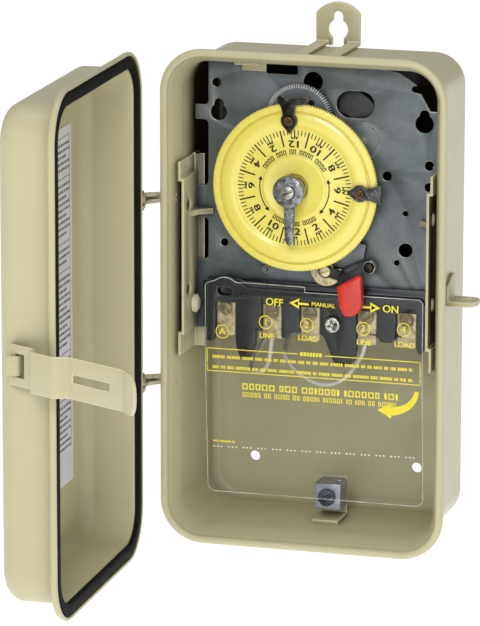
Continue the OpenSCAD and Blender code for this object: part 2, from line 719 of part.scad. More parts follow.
module door_shell() color([0.78, 0.75, 0.59]) swung() {
    difference() {
        union() {
            plate_at(0, 0, flange_back, flange_front) rounded(door_w, door_h, door_r);
            plate_at(0, 0, flange_front - lip_depth, flange_front) difference() {
                rounded(door_w, door_h, door_r);
                rounded(door_w - 2 * sheet_t, door_h - 2 * sheet_t, door_r - sheet_t);
            }
            translate([0, 0, dish_front]) mirror([0, 0, 1])
                tray(dish_w, dish_h, dish_d, dish_r, dish_edge_r);
        }
        translate([0, 0, dish_front - sheet_t]) mirror([0, 0, 1])
            tray(dish_w - 2 * sheet_t, dish_h - 2 * sheet_t, dish_d + 4, dish_r - sheet_t,
                dish_edge_r - sheet_t);
    }
    // the hook that holds the latch strap
    translate([dish_w / 2 - 0.5, -4.6, strap_bar - 3.9]) cube([7, 9.2, 1.6]);
    translate([dish_w / 2 + 5.5, -4.6, strap_bar - 3.9]) cube([1.4, 9.2, 6.6]);
}

module door_gasket() color([0.05, 0.05, 0.06]) swung()
    plate_at(0, 0, case_d + 0.08, flange_back - touch) difference() {
        rounded(dish_w - 2 + 2 * gasket_w, dish_h - 2 + 2 * gasket_w, dish_r - 1 + gasket_w);
        rounded(dish_w - 2, dish_h - 2, dish_r - 1);
    }

module door_label() color([0.85, 0.84, 0.87]) swung()
    plate_at(label_x, label_z, dish_front - sheet_t - 0.35, dish_front - sheet_t - touch)
        square([label_w, label_h], center = true);

module hinge_forks() color([0.72, 0.7, 0.6]) swung() for (z = hinge_heights, side = [-1, 1])
    translate([0, z + side * 2.6 + 0.9, 0]) rotate([90, 0, 0]) linear_extrude(1.8) difference() {
        union() {
            translate([hinge_x, hinge_y]) circle(2.6);
            translate([hinge_x, hinge_y - 2.6]) square([-door_w / 2 - touch - hinge_x, 3.2]);
        }
        translate([hinge_x, hinge_y]) circle(pin_r);
    }

module hinge_pins() color([0.7, 0.7, 0.66]) swung() for (z = hinge_heights)
    translate([hinge_x, z, hinge_y]) rotate([90, 0, 0]) {
        translate([0, 0, -4.6]) cylinder(h = 9.2, r = pin_r);
        for (low = [-4.7, 3.51]) translate([0, 0, low]) cylinder(h = 1.19, r = 2);
    }

// The strap seen flat, with its rounded tip
module strap_outline() {
    tip = strap_end + strap_tip_r;
    translate([-strap_h / 2, tip]) square([strap_h, strap_bar]);
    translate([strap_tip_r - strap_h / 2, strap_end]) square([strap_h - 2 * strap_tip_r, tip]);
    for (side = [-1, 1]) translate([side * (strap_h / 2 - strap_tip_r), tip]) circle(strap_tip_r);
}

module latch_strap() color([0.78, 0.75, 0.59]) swung()
    translate([strap_x, 0, strap_bar]) rotate([0, -strap_out, 0]) translate([-strap_x, 0, -strap_bar])
        intersection() {
            difference() {
                translate([0, strap_h / 2, 0]) rotate([90, 0, 0]) linear_extrude(strap_h)
                    strip(strap_path, strap_t);
                translate([strap_x - 3, -5.5, strap_bar - 7.5]) cube([6, 11, 6]);
                translate([strap_in - 3, -1.8, 24.4]) cube([6, 3.6, 23.6]);
            }
            translate([strap_x - 20, 0, 0]) rotate([90, 0, 90]) linear_extrude(50) strap_outline();
        }

enclosure_box();
hanger_tab();
padlock_staple();
hinge_eyes();
left_bracket();
right_bracket();
nylon_plug();
plate_clip();
ground_bracket();
ground_lug();
ground_screw();
mechanism_plate();
motor_body();
motor_screws();
motor_pinion();
wheel_post();
gear_wheel();
wheel_pinion();
dial_post();
dial_gear();
dial_face();
on_clip();
on_clip_screw();
off_clip();
off_clip_screw();
time_pointer();
pointer_screw();
lever_bracket();
lever_pivot();
lever_cam();
lever_arm();
lever_handle();
toggle_spring();
spring_post();
switch_housing();
contact_bar();
contact_blades();
fixed_contacts();
terminal_block();
terminal_plates();
terminal_screws();
block_screw();
insulator_top();
insulator_flap();
motor_lead_line();
motor_lead_load();
door_shell();
door_gasket();
door_label();
hinge_forks();
hinge_pins();
latch_strap();
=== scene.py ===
"""Looks of the mechanical time switch in its wall-mounted enclosure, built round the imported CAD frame.

Shapes are drawn as seen from the front of the closed object, in millimetres: x to the right, y up and
z the height above the enclosure's back face. FRONT turns that into the row frame.
"""

import json
import random
from functools import cache
from math import acos, cos, hypot, pi, radians, sin, sqrt, tan

import bmesh
import bpy
from mathutils import Matrix, Vector

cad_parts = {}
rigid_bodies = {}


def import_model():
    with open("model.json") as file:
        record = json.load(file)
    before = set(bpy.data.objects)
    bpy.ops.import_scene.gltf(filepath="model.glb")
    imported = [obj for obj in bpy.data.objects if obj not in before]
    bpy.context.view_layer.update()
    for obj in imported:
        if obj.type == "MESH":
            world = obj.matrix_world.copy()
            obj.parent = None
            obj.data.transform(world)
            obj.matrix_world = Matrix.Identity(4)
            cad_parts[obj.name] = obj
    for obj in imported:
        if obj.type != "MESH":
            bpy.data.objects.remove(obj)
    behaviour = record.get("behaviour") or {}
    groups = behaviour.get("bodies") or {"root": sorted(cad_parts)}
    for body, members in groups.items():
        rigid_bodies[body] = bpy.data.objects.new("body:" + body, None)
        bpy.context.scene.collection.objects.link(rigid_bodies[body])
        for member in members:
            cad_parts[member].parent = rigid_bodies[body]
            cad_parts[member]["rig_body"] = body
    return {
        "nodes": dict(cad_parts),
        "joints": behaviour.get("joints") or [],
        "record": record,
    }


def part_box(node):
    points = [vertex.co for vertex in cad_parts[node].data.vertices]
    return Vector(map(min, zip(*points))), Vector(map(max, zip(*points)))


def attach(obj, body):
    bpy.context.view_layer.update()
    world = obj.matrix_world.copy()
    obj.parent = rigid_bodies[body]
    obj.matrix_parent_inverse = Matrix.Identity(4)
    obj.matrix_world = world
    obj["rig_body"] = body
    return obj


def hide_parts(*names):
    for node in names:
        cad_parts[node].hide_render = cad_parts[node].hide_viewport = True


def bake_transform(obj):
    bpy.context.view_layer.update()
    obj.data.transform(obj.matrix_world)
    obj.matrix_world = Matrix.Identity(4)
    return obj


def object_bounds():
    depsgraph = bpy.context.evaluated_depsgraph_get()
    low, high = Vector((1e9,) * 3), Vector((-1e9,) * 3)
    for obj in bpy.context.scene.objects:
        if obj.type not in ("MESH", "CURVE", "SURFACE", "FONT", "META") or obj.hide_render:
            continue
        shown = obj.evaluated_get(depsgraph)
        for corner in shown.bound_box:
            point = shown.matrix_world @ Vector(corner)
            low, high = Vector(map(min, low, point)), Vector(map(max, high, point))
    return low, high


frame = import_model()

CAD_BOX = [list(corner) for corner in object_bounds()]
MM = 0.001
FRONT = Matrix.Rotation(radians(90), 4, "X") @ Matrix.Scale(MM, 4)
RECORD = frame["record"]
BODY_OF = {node: body for body, nodes in RECORD["behaviour"]["bodies"].items() for node in nodes}
SLOT_OF = {part["node"]: part["material_slot"] for part in RECORD["subparts"]}
SHEET = 1.6
EVEN = (1, 1, 1)


# ---- places that come from the frame ----


def joint(name):
    return next(j for j in frame["joints"] if j["name"] == name)


def turned(name, degrees):
    """The row frame's turn about a joint by that angle."""
    j = joint(name)
    place = Vector(j["pos_m"])
    turn = Matrix.Rotation(radians(degrees), 4, Vector(j["axis"]))
    return Matrix.Translation(place) @ turn @ Matrix.Translation(-place)


def span(node):
    """Lowest and highest corner of a CAD node, drawn from the front, in millimetres."""
    low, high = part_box(node)
    return Vector((low.x, low.z, -high.y)) / MM, Vector((high.x, high.z, -low.y)) / MM


def pivot(name):
    x, y, z = joint(name)["pos_m"]
    return Vector((x, z, -y)) / MM


OPENED = turned("door_swing", -joint("door_swing")["range_deg"][0])
UNLATCHED = turned("latch_swing", -joint("latch_swing")["range_deg"][0]) @ OPENED
BOX_LOW, BOX_HIGH = span("enclosure_box")
RIM_W = BOX_HIGH.x - BOX_LOW.x
RIM_H = BOX_HIGH.y - BOX_LOW.y
CASE_D = BOX_HIGH.z - BOX_LOW.z
RIM_OUT = 6
WALL_R = 15
CASE_W = RIM_W - 2 * RIM_OUT
CASE_H = RIM_H - 2 * RIM_OUT
DIAL = pivot("dial_spin")
DIAL_R = (span("dial_face")[1].x - span("dial_face")[0].x) / 2
DIAL_TOP = 49.2
CREASE = pivot("flap_lift")


# ---- mesh helpers ----


def linear(r, g, b):
    """A screen colour, 0 to 255, as linear light."""
    return tuple((c / 255 / 12.92) if c < 10.3 else ((c / 255 + 0.055) / 1.055) ** 2.4 for c in (r, g, b))


def placed(name, data):
    """A new object in the scene."""
    thing = bpy.data.objects.new(name, data)
    bpy.context.collection.objects.link(thing)
    return thing


def meshed(name, bm):
    """A drawing as a new mesh."""
    mesh = bpy.data.meshes.new(name)
    bm.to_mesh(mesh)
    bm.free()
    return mesh


def finish(name, bm, body, material, matrix=FRONT, sharp=35, stands_for=()):
    """Turns a drawing into a piece that rides on its body and takes the finish of that name."""
    bm.transform(matrix)
    bmesh.ops.recalc_face_normals(bm, faces=bm.faces)
    for edge in bm.edges:
        edge.smooth = len(edge.link_faces) != 2 or edge.calc_face_angle() < radians(sharp)
    for face in bm.faces:
        face.smooth = True
    piece = placed(name, meshed(name, bm))
    piece.data.materials.append(finish_of(material))
    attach(piece, body)
    if stands_for:
        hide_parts(*stands_for)
    return piece


def loop(bm, points):
    return [bm.verts.new(p) for p in points]


def bridge(bm, rings, closed_ring=True, closed_path=False):
    """Quads between neighbouring rings of vertices."""
    pairs = list(zip(rings, rings[1:])) + ([(rings[-1], rings[0])] if closed_path else [])
    for a, b in pairs:
        count = len(a)
        for k in range(count if closed_ring else count - 1):
            bm.faces.new((a[k], a[(k + 1) % count], b[(k + 1) % count], b[k]))


def solid(bm, rings):
    """Rings joined in order and closed at both ends."""
    bridge(bm, rings)
    bm.faces.new(rings[0])
    bm.faces.new(rings[-1])


def add(bm, other):
    """Puts another drawing into this one."""
    bm.from_mesh(meshed("part", other))


def heading(line, i):
    """The direction of a line of points at one of them."""
    return (line[min(i + 1, len(line) - 1)] - line[max(i - 1, 0)]).normalized()


def rounded(w, h, r, steps=14):
    """Points round a rounded rectangle."""
    r = max(r, 0.05)
    corners = ((w / 2 - r, h / 2 - r), (r - w / 2, h / 2 - r), (r - w / 2, r - h / 2), (w / 2 - r, r - h / 2))
    points = []
    for quarter, (x, y) in enumerate(corners):
        for k in range(steps + 1):
            a = radians(90 * (quarter + k / steps))
            points.append((x + r * cos(a), y + r * sin(a)))
    return points


def arc(x, y, r, start, end, steps=6):
    """Points on an arc, in degrees."""
    angles = [radians(start + (end - start) * k / steps) for k in range(steps + 1)]
    return [(x + r * cos(a), y + r * sin(a)) for a in angles]


def stadium(length, width):
    """Points round a slot with half-round ends."""
    reach = (length - width) / 2
    return arc(reach, 0, width / 2, -90, 90, 8) + arc(-reach, 0, width / 2, 90, 270, 8)


def swept(profile, w, h, r):
    """A skin round a rounded rectangle; the profile holds (offset outwards, height)."""
    bm = bmesh.new()
    solid(bm, [loop(bm, [(x, y, z) for x, y in rounded(w + 2 * out, h + 2 * out, r + out)]) for out, z in profile])
    return bm


def circles(bm, profile, x, y, steps, wave=None):
    """Rings about an axis that points to the front; the profile holds (radius, height)."""
    angles = [2 * pi * k / steps for k in range(steps)]
    rings = []
    for r, z in profile:
        radii = [r + (wave(r, a) if wave else 0) for a in angles]
        rings.append(loop(bm, [(x + q * cos(a), y + q * sin(a), z) for q, a in zip(radii, angles)]))
    return rings


def peg(bm, x, y, r, z0, z1, steps=32):
    """A round peg, which cuts a hole."""
    solid(bm, circles(bm, [(r, z0), (r, z1)], x, y, steps))


def turned_ring(profile, x, y, steps, wave=None):
    """A turned solid with a hole: its profile is a closed loop of (radius, height)."""
    bm = bmesh.new()
    bridge(bm, circles(bm, profile, x, y, steps, wave), closed_path=True)
    return bm


def block(bm, x0, x1, y0, y1, z0, z1):
    """A box between two corners."""
    solid(bm, [loop(bm, [(x0, y0, z), (x1, y0, z), (x1, y1, z), (x0, y1, z)]) for z in (z0, z1)])


def prism(bm, outline, z0, z1, place=Matrix.Identity(4)):
    """An outline made solid between two heights."""
    solid(bm, [loop(bm, [place @ Vector((x, y, z)) for x, y in outline]) for z in (z0, z1)])


def smooth_line(points):
    """A smooth line through points."""
    points = [Vector(p) for p in points]
    line, steps = [], 6
    for i in range(len(points) - 1):
        a, b, c, d = (points[min(max(k, 0), len(points) - 1)] for k in range(i - 1, i + 3))
        square, cube = 2 * a - 5 * b + 4 * c - d, 3 * b - a - 3 * c + d
        for k in range(steps):
            t = k / steps
            line.append(0.5 * (2 * b + (c - a) * t + square * t * t + cube * t * t * t))
    return line + [points[-1]]


def tube(bm, line, radius, sides):
    """A round tube along a line of points, with closed ends."""
    line = [Vector(p) for p in line]
    side = None
    rings = []
    for i, point in enumerate(line):
        along = heading(line, i)
        if side is None:
            side = along.orthogonal().normalized()
        side = (side - along * side.dot(along)).normalized()
        up = along.cross(side)
        angles = [2 * pi * k / sides for k in range(sides)]
        rings.append(loop(bm, [point + radius * (side * cos(a) + up * sin(a)) for a in angles]))
    solid(bm, rings)


def cut(bm, cutters, keep="DIFFERENCE"):
    """The drawing with the cutters' solids taken out of it, or only what lies inside them."""
    objects = []
    for name, drawing in (("whole", bm), ("cutter", cutters)):
        bmesh.ops.recalc_face_normals(drawing, faces=drawing.faces)
        objects.append(placed(name, meshed(name, drawing)))
    whole, cutter = objects
    boolean = whole.modifiers.new("cut", "BOOLEAN")
    boolean.operation = keep
    boolean.solver = "EXACT"
    boolean.object = cutter
    bpy.context.view_layer.update()
    result = bmesh.new()
    result.from_object(whole, bpy.context.evaluated_depsgraph_get())
    for thing in objects:
        bpy.data.objects.remove(thing)
    return result


def rounded_edges(bm, width, limit=40, segments=2):
    """Rounds every edge that is sharper than the limit; the new faces take the second material."""
    bmesh.ops.dissolve_limit(bm, angle_limit=radians(0.5), verts=bm.verts, edges=bm.edges)
    sharp = [e for e in bm.edges if len(e.link_faces) == 2 and e.calc_face_angle() > radians(limit)]
    bmesh.ops.bevel(bm, geom=sharp, offset=width, segments=segments, profile=0.5, affect="EDGES", material=1)
    return bm


def drawing_of(node):
    """A CAD node's mesh as a drawing."""
    bm = bmesh.new()
    bm.from_mesh(frame["nodes"][node].data)
    bm.transform(FRONT.inverted())
    bmesh.ops.remove_doubles(bm, verts=bm.verts, dist=0.001)
    return bm


def softened(node, width, limit=40, segments=2, sharp=50, look=None):
    """A CAD node with its edges rounded; the rounded edges take a lighter edge finish, a painted highlight."""
    bm = rounded_edges(drawing_of(node), width, limit, segments)
    slot = SLOT_OF[node]
    look = look or slot
    piece = finish(node + "_soft", bm, BODY_OF[node], look, stands_for=[node], sharp=sharp)
    piece.data.materials.append(finish_of(EDGES.get(look, look)))
    return piece


INK = 0.02  # half the thickness of print
DIAL_INK = 0.03


def patch(bm, x0, x1, y0, y1, z):
    """A flat rectangle of print."""
    block(bm, x0, x1, y0, y1, z - INK, z + INK)


def letters(bm, text, size, x, y, z, turn=0.0, bold=0.0, wide=1.0):
    """Plain lettering, centred on its place, and drawn again a little to each side to make it bold."""
    font = bpy.data.curves.new("letters", "FONT")
    font.body = text
    font.size = size
    font.align_x = font.align_y = "CENTER"
    font.extrude = INK
    thing = placed("letters", font)
    bpy.context.view_layer.update()
    mesh = bpy.data.meshes.new_from_object(thing.evaluated_get(bpy.context.evaluated_depsgraph_get()))
    place = Matrix.Translation((x, y, z)) @ Matrix.Rotation(radians(turn), 4, "Z")
    for k, (aside, up) in enumerate(((0, 0), (-bold, 0), (bold, 0), (0, bold * 0.6), (0, -bold * 0.6))):
        copy = mesh.copy()
        copy.transform(place @ Matrix.Translation((aside, up, 0.002 * k)) @ Matrix.Diagonal((wide, 1, 1, 1)))
        bm.from_mesh(copy)
        if not bold:
            break
    bpy.data.objects.remove(thing)


def bars(bm, x0, x1, y, height, z, seed, words=(2, 8), wide=0.62, gap=0.2, line=0):
    """Rows of short dashes or empty frames in groups, which stand for the words of small print."""
    chance = random.Random(seed)
    low, high = y - height / 2, y + height / 2
    x = x0
    while x < x1 - height:
        for _ in range(chance.randint(*words)):
            width = height * wide * chance.choice((0.5, 0.85, 1, 1, 1.15))
            if x + width > x1:
                return
            if line:
                patch(bm, x, x + line, low, high, z)
                patch(bm, x + width - line, x + width, low, high, z)
                for at in (low, high - line):
                    patch(bm, x + line, x + width - line, at, at + line, z)
            else:
                patch(bm, x, x + width, low, high, z)
            x += width + height * gap
        x += height * 0.55


# ---- materials ----


class Finish:
    """A Principled material that is built up from procedural layers, in metres of the object's own space."""

    def __init__(self, name, colour, metal=0.0, rough=0.5):
        self.material = bpy.data.materials.new(name)
        self.material.use_nodes = True
        self.tree = self.material.node_tree
        self.link = self.tree.links.new
        self.shader = self.tree.nodes["Principled BSDF"]
        self.coords = self.node("ShaderNodeTexCoord").outputs["Object"]
        self.colour = self.constant(colour)
        self.normal = None
        self.set(Metallic=metal, Roughness=rough)

    def node(self, kind, inputs=(), **values):
        """A new node with its settings, and its inputs linked to sockets or set to numbers."""
        node = self.tree.nodes.new(kind)
        for name, value in values.items():
            setattr(node, name, value)
        for name, value in dict(inputs).items():
            if isinstance(value, bpy.types.NodeSocket):
                self.link(value, node.inputs[name])
            else:
                node.inputs[name].default_value = value
        return node

    def constant(self, colour):
        node = self.node("ShaderNodeRGB")
        node.outputs[0].default_value = (*colour, 1)
        return node.outputs[0]

    def noise(self, scale, detail, stretch=EVEN):
        place = self.node("ShaderNodeMapping", {"Scale": stretch, "Vector": self.coords}).outputs[0]
        inputs = {"Scale": scale, "Detail": detail, "Roughness": 0.55, "Vector": place}
        return self.node("ShaderNodeTexNoise", inputs).outputs["Fac"]

    def ranged(self, value, low, high, to_low=0.0, to_high=1.0):
        inputs = {"Value": value, "From Min": low, "From Max": high, "To Min": to_low, "To Max": to_high}
        return self.node("ShaderNodeMapRange", inputs).outputs[0]

    def joined(self, operation, result, *others):
        """Several masks multiplied together, or the highest of them."""
        for other in others:
            result = self.node("ShaderNodeMath", {0: result, 1: other}, operation=operation).outputs[0]
        return result

    def blend(self, share, other, how="MIX"):
        """Mixes the colour so far with another by a share."""
        inputs = {"Factor": share, "A": self.colour, "B": self.constant(other)}
        self.colour = self.node("ShaderNodeMix", inputs, data_type="RGBA", blend_type=how).outputs["Result"]

    def blotches(self, other, scale, share, low=0.4, high=0.65, stretch=EVEN, detail=3.0):
        """Patches of another colour."""
        self.blend(self.ranged(self.noise(scale, detail, stretch), low, high, 0, share), other)

    def grime(self, other, reach, share):
        """Painted shade: darkens hollows and corners, by how closed in they are."""
        node = self.node("ShaderNodeAmbientOcclusion", {"Distance": reach}, samples=8)
        self.blend(self.ranged(node.outputs["AO"], 0.35, 0.95, share, 0), other, "MULTIPLY")

    def roughness(self, low, high, scale):
        self.link(self.ranged(self.noise(scale, 4), 0.3, 0.7, low, high), self.shader.inputs["Roughness"])

    def bump(self, scale, depth, stretch=EVEN, detail=3.0):
        """A relief of that depth in metres."""
        inputs = {"Distance": depth, "Height": self.noise(scale, detail, stretch)}
        if self.normal:
            inputs["Normal"] = self.normal
        self.normal = self.node("ShaderNodeBump", inputs).outputs[0]

    def set(self, **values):
        for name, value in values.items():
            self.shader.inputs[name.replace("_", " ")].default_value = value

    def done(self):
        self.link(self.colour, self.shader.inputs["Base Color"])
        if self.normal:
            self.link(self.normal, self.shader.inputs["Normal"])
        return self.material


def mixed(name, colour, metal, blotches, rough, bumps, grime=None, values=(), alpha=None):
    """A finish from its row in the table."""
    made = Finish(name, linear(*colour), metal)
    for other, *numbers in blotches:
        made.blotches(linear(*other), *numbers)
    # Painted shade in hollows and corners, where the row has it.
    if grime:
        other, *numbers = grime
        made.grime(linear(*other), *numbers)
    if alpha:
        scale, *numbers = alpha
        made.link(made.ranged(made.noise(scale, 2), *numbers), made.shader.inputs["Alpha"])
    made.roughness(*rough)
    for bump in bumps:
        made.bump(*bump)
    made.set(**dict(values))
    return made


def hidden_dust(made):
    """Paints shade onto the shell's paint behind the mechanism plate and behind the two rails, where the cavity is
    in shadow.
    """
    plate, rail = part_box("mechanism_plate"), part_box("left_bracket")
    x, depth, height = made.node("ShaderNodeSeparateXYZ", {0: made.coords}).outputs
    across = made.node("ShaderNodeMath", {0: x}, operation="ABSOLUTE").outputs[0]
    behind_plate = made.joined(
        "MULTIPLY",
        made.ranged(depth, plate[0].y - 0.008, plate[1].y + 0.004),
        made.ranged(height, plate[0].z - 0.004, plate[0].z + 0.012),
    )
    behind_rail = made.joined(
        "MULTIPLY",
        made.ranged(across, 0.0602, 0.061),
        made.ranged(depth, rail[0].y + 0.001, rail[0].y + 0.006),
        made.ranged(height, rail[0].z + 0.0095, rail[0].z + 0.0115),
        made.ranged(height, rail[1].z - 0.0105, rail[1].z - 0.0085, 1, 0),
    )
    # Painted shade: the paint there is multiplied darker.
    made.blend(made.joined("MAXIMUM", behind_plate, behind_rail), linear(58, 52, 36), "MULTIPLY")


def ink(colour, fade):
    """The row of a printing ink, worn in small spots."""
    return colour, 0, [(fade, 1400, 0.6, 0.52, 0.72, EVEN, 4)], (0.4, 0.6, 500), [(2200, 1e-5)]


# Each row: colour, metal, blotches (colour, scale, share, low, high, stretch, detail), roughness (least, most,
# scale), bumps (scale, depth, stretch, detail), hollow shade (colour, reach, share), a painted shade in
# hollows and corners, shader values, alpha (scale, low, high, least, most).
FINISHES = {
    "beige_paint": ((190, 185, 148), 0, [((184, 179, 141), 11, 0.6, 0.35), ((195, 190, 155), 120, 0.3, 0.5, 0.7)],
        (0.3, 0.38, 70), [(140, 2e-5, EVEN, 1), (1500, 6e-6)], ((140, 128, 94), 0.009, 0.6),
        dict(Coat_Weight=0.15, Coat_Roughness=0.12, Specular_IOR_Level=0.3)),
    "plate_steel": ((100, 108, 112), 0.45,
        [((116, 121, 122), 28, 0.8), ((84, 90, 92), 90, 0.6, 0.5, 0.7),
         ((120, 122, 120), 420, 0.35, 0.58, 0.72, (1, 1, 0.1))],
        (0.38, 0.52, 120), [(900, 2e-5, (1, 1, 0.3))], ((34, 36, 38), 0.006, 0.6)),
    # The plate's edge finish: a painted highlight.
    "plate_edge_highlight": ((158, 160, 156), 0.7, [((112, 112, 106), 300, 0.8)], (0.3, 0.5, 300), [(1200, 2e-5)]),
    "wheel_steel": ((112, 118, 122), 0.35, [((92, 98, 104), 60, 0.8)], (0.4, 0.55, 200), [(900, 2e-5)]),
    # The teeth's finish: bright, a painted glint.
    "tooth_glint_steel": ((196, 198, 196), 0.3, [((150, 152, 150), 500, 0.8)], (0.35, 0.5, 300), [(1200, 2e-5)]),
    "hinge_metal": ((196, 188, 158), 0.25, [((150, 140, 108), 420, 0.8), ((96, 88, 66), 900, 0.7, 0.58, 0.7)],
        (0.25, 0.4, 300), [(1200, 4e-5)], ((70, 60, 40), 0.0015, 0.8)),
    "bronze_screw": ((112, 82, 52), 0.6, [((52, 36, 26), 700, 0.9)], (0.25, 0.4, 300), [(1100, 3e-5)],
        ((16, 12, 10), 0.001, 0.9)),
    "blue_steel": ((74, 86, 102), 0.6, [((50, 60, 74), 400, 0.8), ((150, 160, 172), 900, 0.5, 0.62, 0.7)],
        (0.3, 0.45, 300), [(1100, 4e-5)]),
    # The paint's edge finish: a painted highlight.
    "paint_edge_highlight": ((216, 208, 172), 0, [((196, 188, 146), 300, 0.7)], (0.2, 0.3, 90), [(600, 1e-5)]),
    "gunmetal": ((84, 86, 84), 0.85, [((48, 50, 50), 500, 0.8), ((190, 190, 184), 900, 0.6, 0.6, 0.7)],
        (0.22, 0.4, 400), [(1200, 4e-5)]),
    "zinc_steel": ((190, 190, 184), 1.0, [((150, 148, 138), 160, 0.7), ((216, 214, 204), 900, 0.5, 0.55, 0.7)],
        (0.2, 0.42, 400), [(1500, 3e-5, (1, 0.3, 1))], ((60, 56, 46), 0.002, 0.7)),
    "cast_zinc": ((142, 144, 148), 0.85,
        [((84, 86, 90), 420, 0.8, 0.46, 0.6, EVEN, 2), ((206, 206, 206), 700, 0.7, 0.58, 0.68, EVEN, 2)],
        (0.25, 0.45, 400), [(420, 0.00025, EVEN, 2)], ((50, 50, 52), 0.001, 0.8)),
    "lug_aluminium": ((158, 162, 172), 0.6, [((128, 132, 144), 200, 0.8), ((196, 200, 208), 800, 0.5, 0.6, 0.7)],
        (0.3, 0.5, 300), [(900, 6e-5, (1, 1, 0.15))]),
    # The lug's edge finish: a painted highlight.
    "lug_edge_highlight": ((196, 200, 208), 0.85, [((150, 154, 164), 400, 0.8)], (0.25, 0.4, 300), [(900, 3e-5)]),
    "brass_part": ((216, 202, 158), 0.3,
        [((150, 126, 78), 260, 0.7, 0.48, 0.62), ((240, 232, 204), 600, 0.6, 0.56, 0.68)], (0.22, 0.4, 400),
        [(1000, 6e-5)], ((70, 54, 30), 0.0015, 0.6)),
    "dark_steel": ((30, 28, 25), 0.6, [((70, 62, 48), 420, 0.6, 0.52, 0.68)], (0.16, 0.4, 300), [(1300, 6e-5)]),
    # The dark steel's edge finish: rubbed wear and a painted highlight both.
    "rubbed_steel_sheen": ((128, 118, 96), 0.8, [((50, 46, 38), 500, 0.9, 0.45, 0.6)], (0.2, 0.4, 300), [(1300, 3e-5)]),
    "motor_can": ((34, 34, 37), 0.3, [((52, 52, 56), 240, 0.6)], (0.3, 0.5, 260), [(1100, 4e-5)]),
    "dial_yellow": ((238, 225, 108), 0, [((240, 222, 96), 40, 0.6), ((252, 242, 140), 300, 0.4, 0.55, 0.72)],
        (0.2, 0.28, 120), [(300, 3e-5)], ((196, 170, 60), 0.0022, 0.6),
        dict(Subsurface_Weight=0.05, Subsurface_Scale=0.002, Coat_Weight=0.5, Coat_Roughness=0.16)),
    "lever_red": ((212, 44, 18), 0, [((190, 32, 14), 120, 0.8)], (0.2, 0.34, 300), [(900, 5e-5)], None,
        dict(Subsurface_Weight=0.08, Subsurface_Scale=0.002, Coat_Weight=0.3)),
    "block_black": ((17, 20, 25), 0, [((30, 35, 42), 60, 0.7)], (0.26, 0.36, 160), [(500, 2e-5)], None,
        dict(Coat_Weight=0.2, Coat_Roughness=0.2)),
    # The block's edge finish: a painted highlight.
    "block_edge_highlight": ((70, 76, 84), 0, [((40, 46, 54), 300, 0.8)], (0.22, 0.32, 160), [(500, 2e-5)]),
    "brown_fibre": ((92, 60, 38), 0, [((62, 38, 24), 500, 0.8, 0.4, 0.65, (0.2, 1, 1))], (0.5, 0.7, 400),
        [(900, 6e-5, (0.2, 1, 1))]),
    "copper_alloy": ((196, 138, 94), 1.0, [((140, 88, 56), 300, 0.8)], (0.25, 0.45, 500),
        [(1200, 3e-5, (0.3, 1, 1))]),
    "nylon_white": ((216, 208, 180), 0, [((196, 188, 158), 500, 0.8)], (0.35, 0.5, 400), [(1500, 3e-5)], None,
        dict(Subsurface_Weight=0.1, Subsurface_Scale=0.001)),
    "lead_white": ((232, 230, 220), 0, [((206, 202, 186), 240, 0.7)], (0.35, 0.5, 300), [(900, 4e-5)]),
    "gasket_black": ((7, 8, 11), 0, [((16, 17, 20), 800, 0.6, 0.5, 0.7)], (0.7, 0.9, 500),
        [(2400, 5e-5, EVEN, 4), (160, 0.0002)], None, dict(Specular_IOR_Level=0.2)),
    "label_paper": ((222, 219, 226), 0,
        [((206, 202, 208), 40, 0.7), ((232, 230, 232), 1800, 0.4, 0.4, 0.65, EVEN, 5)], (0.5, 0.7, 300),
        [(2600, 2e-5, EVEN, 5)]),
    "clear_sheet": ((84, 86, 82), 0, [((104, 105, 98), 30, 0.7)], (0.06, 0.12, 30), [(9, 0.0003, EVEN, 0)], None,
        dict(Specular_IOR_Level=0.28), (14, 0.4, 0.7, 0.07, 0.11)),
    # The film's cut edge: pale and less clear, a painted highlight.
    "film_edge_highlight": ((214, 214, 196), 0, [((246, 246, 236), 120, 0.8)], (0.15, 0.3, 200), [(600, 2e-5)], None, (),
        (60, 0.35, 0.65, 0.3, 0.75)),
    "black_ink": ink((30, 27, 16), (74, 66, 34)),
    "yellow_ink": ink((240, 224, 52), (214, 196, 44)),
    "white_ink": ink((236, 234, 222), (214, 212, 200)),
    "grey_ink": ink((92, 90, 100), (150, 148, 158)),
}
# The shell paint is the beige paint with painted shade behind the plate and the rails.
FINISHES["shaded_shell_paint"] = FINISHES["beige_paint"]
# What the rounded edges of a finish show: a lighter finish, which is a painted highlight; on dark steel it is
# rubbed wear and a painted highlight both.
EDGES = {
    "beige_paint": "paint_edge_highlight", "shaded_shell_paint": "paint_edge_highlight", "plate_steel": "plate_edge_highlight",
    "dark_steel": "rubbed_steel_sheen", "block_black": "block_edge_highlight", "lug_aluminium": "lug_edge_highlight",
}


@cache
def finish_of(name):
    """The material of that name, made when it is first asked for."""
    made = mixed(name, *FINISHES[name])
    # Only the shell paint takes the painted shade.
    if name == "shaded_shell_paint":
        hidden_dust(made)
    return made.done()


def paint_cad():
    """Every CAD node takes its slot's finish."""
    for node, piece in frame["nodes"].items():
        for place in piece.material_slots:
            place.material = finish_of(SLOT_OF[node])


# ---- the enclosure ----

WALL_HOLE_X, WALL_HOLE_Y = 41, -92
KNOCKOUT_X, KNOCKOUT_Z = 30, 34


